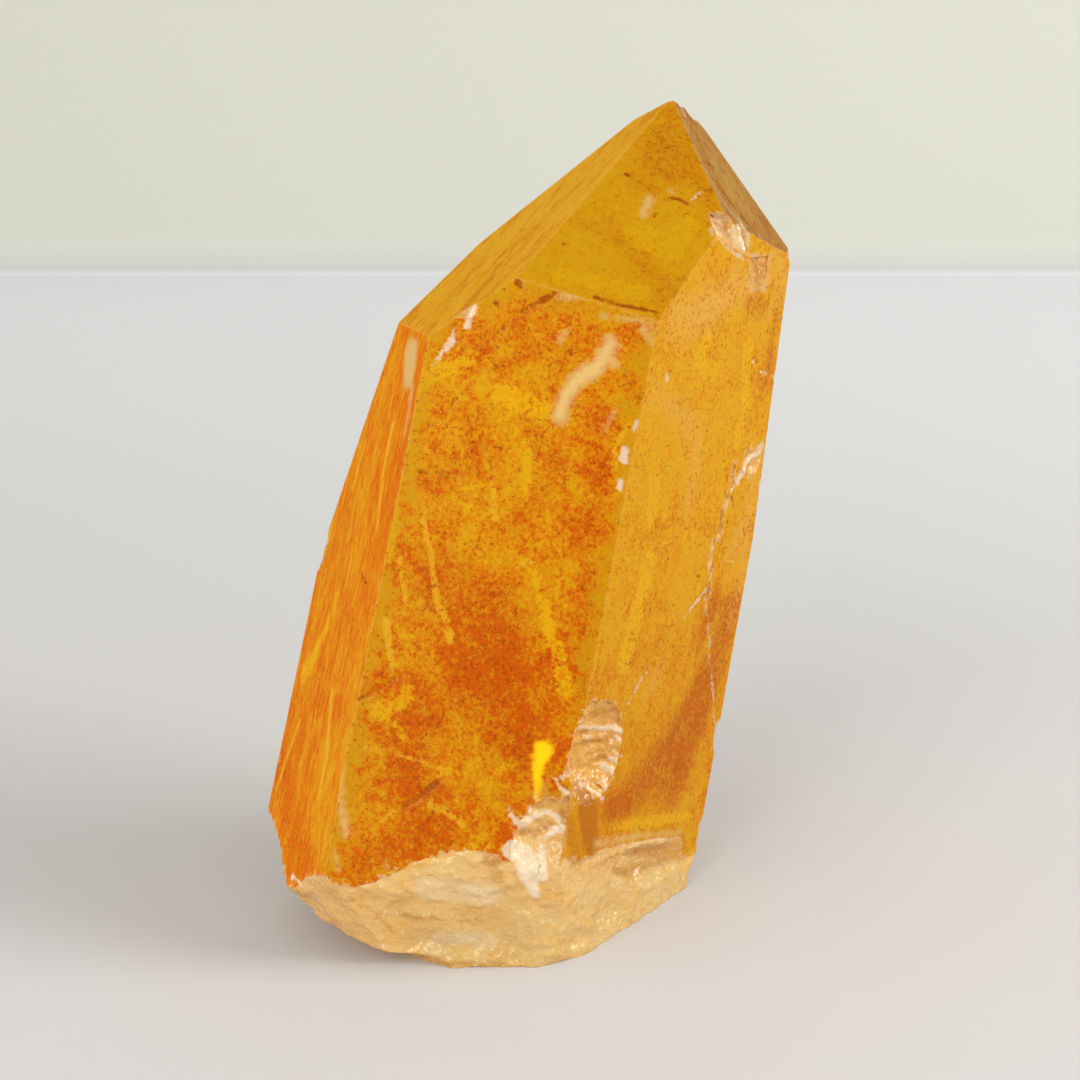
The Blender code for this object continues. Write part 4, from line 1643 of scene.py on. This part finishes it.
    @staticmethod
    def _gaps(bm: bmesh.types.BMesh, points: list) -> np.ndarray:
        """Distance from each vertex to the nearest of some points, in millimetres.

        Args:
            bm: The mesh.
            points: The points.

        Returns:
            The distances, FAR at the most.
        """
        tree = kdtree.KDTree(len(points))
        for index, point in enumerate(points):
            tree.insert(point, index)
        tree.balance()
        return np.minimum([tree.find(vert.co)[2] / MM for vert in bm.verts], FAR)

    def sink_grooves(self, bm: bmesh.types.BMesh, marks: dict) -> None:
        """Sink the cracks and scuffs a little into the faces.

        Args:
            bm: The mesh.
            marks: Each vertex's distance from the marks.
        """
        nearest = np.minimum(marks[Ink.FROST.value], marks[Ink.RUST.value])
        depth = np.clip(self.groove_rim - nearest, 0.0, self.groove_slope) / self.groove_slope
        for vert, share in zip(bm.verts, depth):
            if share > 0.0 and not is_on_broken(vert):
                place = STANCE.to_crystal(vert.co)
                rough = self.groove_least + abs(noise.noise(place / self.groove_size))
                vert.co -= vert.normal * float(share) * self.groove * rough * MM


# ---------------------------------------------------------------- floor, light, camera


@dataclass(frozen=True)
class Studio:
    """A pale sweep of floor and wall under soft light."""

    half_width: float = 2500.0
    front: float = -1500.0
    wall: float = 450.0
    height: float = 1500.0
    cove: float = 10.0
    cove_low: float = 0.16
    cove_high: float = 0.4
    arc_steps: int = 16
    rough: float = 0.8
    shine: float = 0.2
    near_floor_shade_colour: Colour = (0.565, 0.558, 0.560)
    far_floor_lit_colour: Colour = (0.725, 0.745, 0.775)
    cove_shade_colour: Colour = (0.55, 0.557, 0.535)
    wall_colour: Colour = (0.595, 0.60, 0.535)

    def build(self) -> bpy.types.Object:
        """Make the sweep.

        Returns:
            The sweep.
        """
        bm = bmesh.new()
        rows = [[bm.verts.new(Vector((side * self.half_width, y, z)) * MM) for side in (-1, 1)]
                for y, z in self._profile()]
        for low, high in zip(rows, rows[1:]):
            bm.faces.new((low[0], low[1], high[1], high[0])).smooth = True
        floor = put_mesh("floor", bm)
        floor.data.materials.append(self._material())
        return floor

    def _profile(self) -> list:
        """The sweep's side outline: floor, cove and wall, as depth and height.

        Returns:
            Pairs in millimetres.
        """
        start = self.wall - self.cove
        profile = [(self.front, 0.0), (start, 0.0)]
        for step in range(1, self.arc_steps + 1):
            angle = math.pi / 2.0 * step / self.arc_steps
            profile.append((start + self.cove * math.sin(angle), self.cove - self.cove * math.cos(angle)))
        return profile + [(self.wall, self.height)]

    def _material(self) -> bpy.types.Material:
        """Pale paint with painted light and shade: darker at the front, lighter towards the back, with
        painted shade in the cove that evens out its lighting, and warmer up the wall.

        Returns:
            The material.
        """
        bench = Bench("pale_floor")
        place = bench.node("ShaderNodeTexCoord", None, None, "Object")
        height = bench.along(place, (0.0, 0.0, 1.0 / MM))
        depth = bench.along(place, (0.0, 1.0 / MM, 0.0))
        # Painted shade at the front of the floor and painted light towards the back.
        colour = bench.mix(depth.clear_of(0.0, self.wall - self.cove), self.near_floor_shade_colour, self.far_floor_lit_colour)
        # Painted shade in the cove, which evens out the light across its bend.
        colour = bench.mix(height.clear_of(0.0, self.cove * self.cove_low), colour, self.cove_shade_colour)
        rising = height.clear_of(self.cove * self.cove_high, self.cove)
        colour = bench.mix(rising, colour, self.wall_colour)
        return bench.finish(bench.node("ShaderNodeBsdfPrincipled", None, {
            "Base Color": colour, "Roughness": self.rough, "Specular IOR Level": self.shine}))


@dataclass(frozen=True)
class Softbox:
    """A square lamp: where it is, what it looks at, its side and its power."""

    name: str
    place: tuple[float, float, float]
    aim: tuple[float, float, float]
    side: float
    watts: float
    colour: Colour = (1.0, 0.98, 0.95)

    def build(self) -> bpy.types.Object:
        """Hang the lamp.

        Returns:
            The lamp.
        """
        lamp = bpy.data.lights.new(self.name, "AREA")
        lamp.shape = "SQUARE"
        lamp.size = self.side * MM
        lamp.energy = self.watts
        lamp.color = self.colour
        hung = put(self.name, lamp)
        hung.location = Vector(self.place) * MM
        hung.rotation_euler = (Vector(self.place) - Vector(self.aim)).to_track_quat("Z", "Y").to_euler()
        return hung


@dataclass(frozen=True)
class View:
    """The camera: the point it looks at, how far off and how high it stands."""

    aim: tuple[float, float, float] = (0.99, 1.07, 39.0)
    distance: float = 258.0
    elevation: float = 15.0
    lens: float = 80.0

    def build(self) -> bpy.types.Object:
        """Set up the camera.

        Returns:
            The camera.
        """
        up = math.radians(self.elevation)
        back = Vector((0.0, -math.cos(up), math.sin(up)))
        data = bpy.data.cameras.new("camera")
        data.lens = self.lens
        data.clip_start = MM
        camera = put("camera", data)
        camera.location = (Vector(self.aim) + back * self.distance) * MM
        camera.rotation_euler = back.to_track_quat("Z", "Y").to_euler()
        bpy.context.scene.camera = camera
        return camera


def set_sky(colour: Colour, strength: float) -> None:
    """Even light from all round.

    Args:
        colour: Its colour.
        strength: Its brightness.
    """
    world = bpy.data.worlds.new("sky")
    bpy.context.scene.world = world
    world.use_nodes = True
    background = world.node_tree.nodes["Background"]
    background.inputs["Color"].default_value = (*colour, 1.0)
    background.inputs["Strength"].default_value = strength


def finishes() -> dict:
    """The finish of each zone.

    Returns:
        A finish for each zone.
    """
    slope = MAIN_FACET[Zone.FRONT_SLOPE].normal()
    ridge = slope.cross(MAIN_FACET[Zone.LEFT_SLOPE].normal()).normalized()
    plain = Palette()
    return {
        Zone.FRONT: StainedFace("front_stain", replace(plain, orange=(0.69, 0.12, 0.0005)), tone=0.52,
                                # The left face, turned from the window lamp, gets a brighter orange and a
                                # share of painted glow: painted light.
                                foot_tone=0.20, margin=1.7, crowd=0.03, shine=0.03),
        Zone.LEFT: StainedFace("left_stain", replace(plain, orange=(0.80, 0.165, 0.0005)), tone=0.74,
                               foot_tone=-0.06, swing=0.95, stretch=6.0, broad=5.0, middle=1.1,
                               fine=0.35, specks=0.9, cover=0.84, shine=0.02, glow=0.28),
        # The right face's colours are darkened a little as painted shade, against the window lamp that
        # faces it.
        Zone.RIGHT: StainedFace("right_stain",
                                replace(plain.with_painted_shade(0.93), rust=(0.50, 0.13, 0.003)), tone=0.18,
                                swing=0.8, depth=0.45, foot_tone=0.25, haze=0.06, specks=1.1,
                                crowd=0.045, shine=0.02),
        # The front slope's colours are darkened as painted shade.
        Zone.FRONT_SLOPE: StainedFace("front_slope_stain", plain.with_painted_shade(0.86), tone=0.36, swing=1.1,
                                      depth=0.35, olive=0.5, specks=0.7, crowd=0.02, shine=0.03),
        # The left slope gets a share of painted glow.
        Zone.LEFT_SLOPE: StainedFace("left_slope_stain", plain, tone=0.34, swing=1.2, stretch=7.0,
                                     grain=tuple(ridge), broad=5.0, middle=1.1, fine=0.3, olive=0.3,
                                     specks=0.5, cover=0.82, shine=0.02, glow=0.15),
        # The right slope's colours are darkened strongly as painted shade.
        Zone.RIGHT_SLOPE: StainedFace("right_slope_stain", plain.with_painted_shade(0.58), tone=0.5, swing=1.5,
                                      haze=0.05, stretch=3.0, olive=0.2, shine=0.03),
        Zone.BACK: StainedFace("back_stain", plain, tone=0.36, swing=0.9, foot_tone=0.2, haze=0.12,
                               margin=1.5, stretch=1.5, broad=6.0, specks=0.8),
        Zone.BROKEN: BrokenQuartz(),
    }


def main() -> None:
    """Build and dress everything."""
    bpy.context.scene.view_settings.view_transform = "Standard"
    tracer = bpy.context.scene.cycles
    tracer.max_bounces = 6
    tracer.use_light_tree = False
    tracer.diffuse_bounces = 2
    tracer.glossy_bounces = 3
    Studio().build()
    set_sky((1.0, 0.985, 0.95), 0.80)
    Softbox("window", (600.0, -120.0, 330.0), (0.0, 0.0, 30.0), 380.0, 3.6).build()
    Softbox("fill", (-350.0, -620.0, 320.0), (0.0, 0.0, 40.0), 500.0, 3.3).build()
    View().build()
    piece = QuartzPoint(finishes()).build()
    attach(piece, "root")
    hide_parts(NODE)
    log.info("%s: %d faces", piece.name, len(piece.data.polygons))


if __name__ == "__main__":
    main()
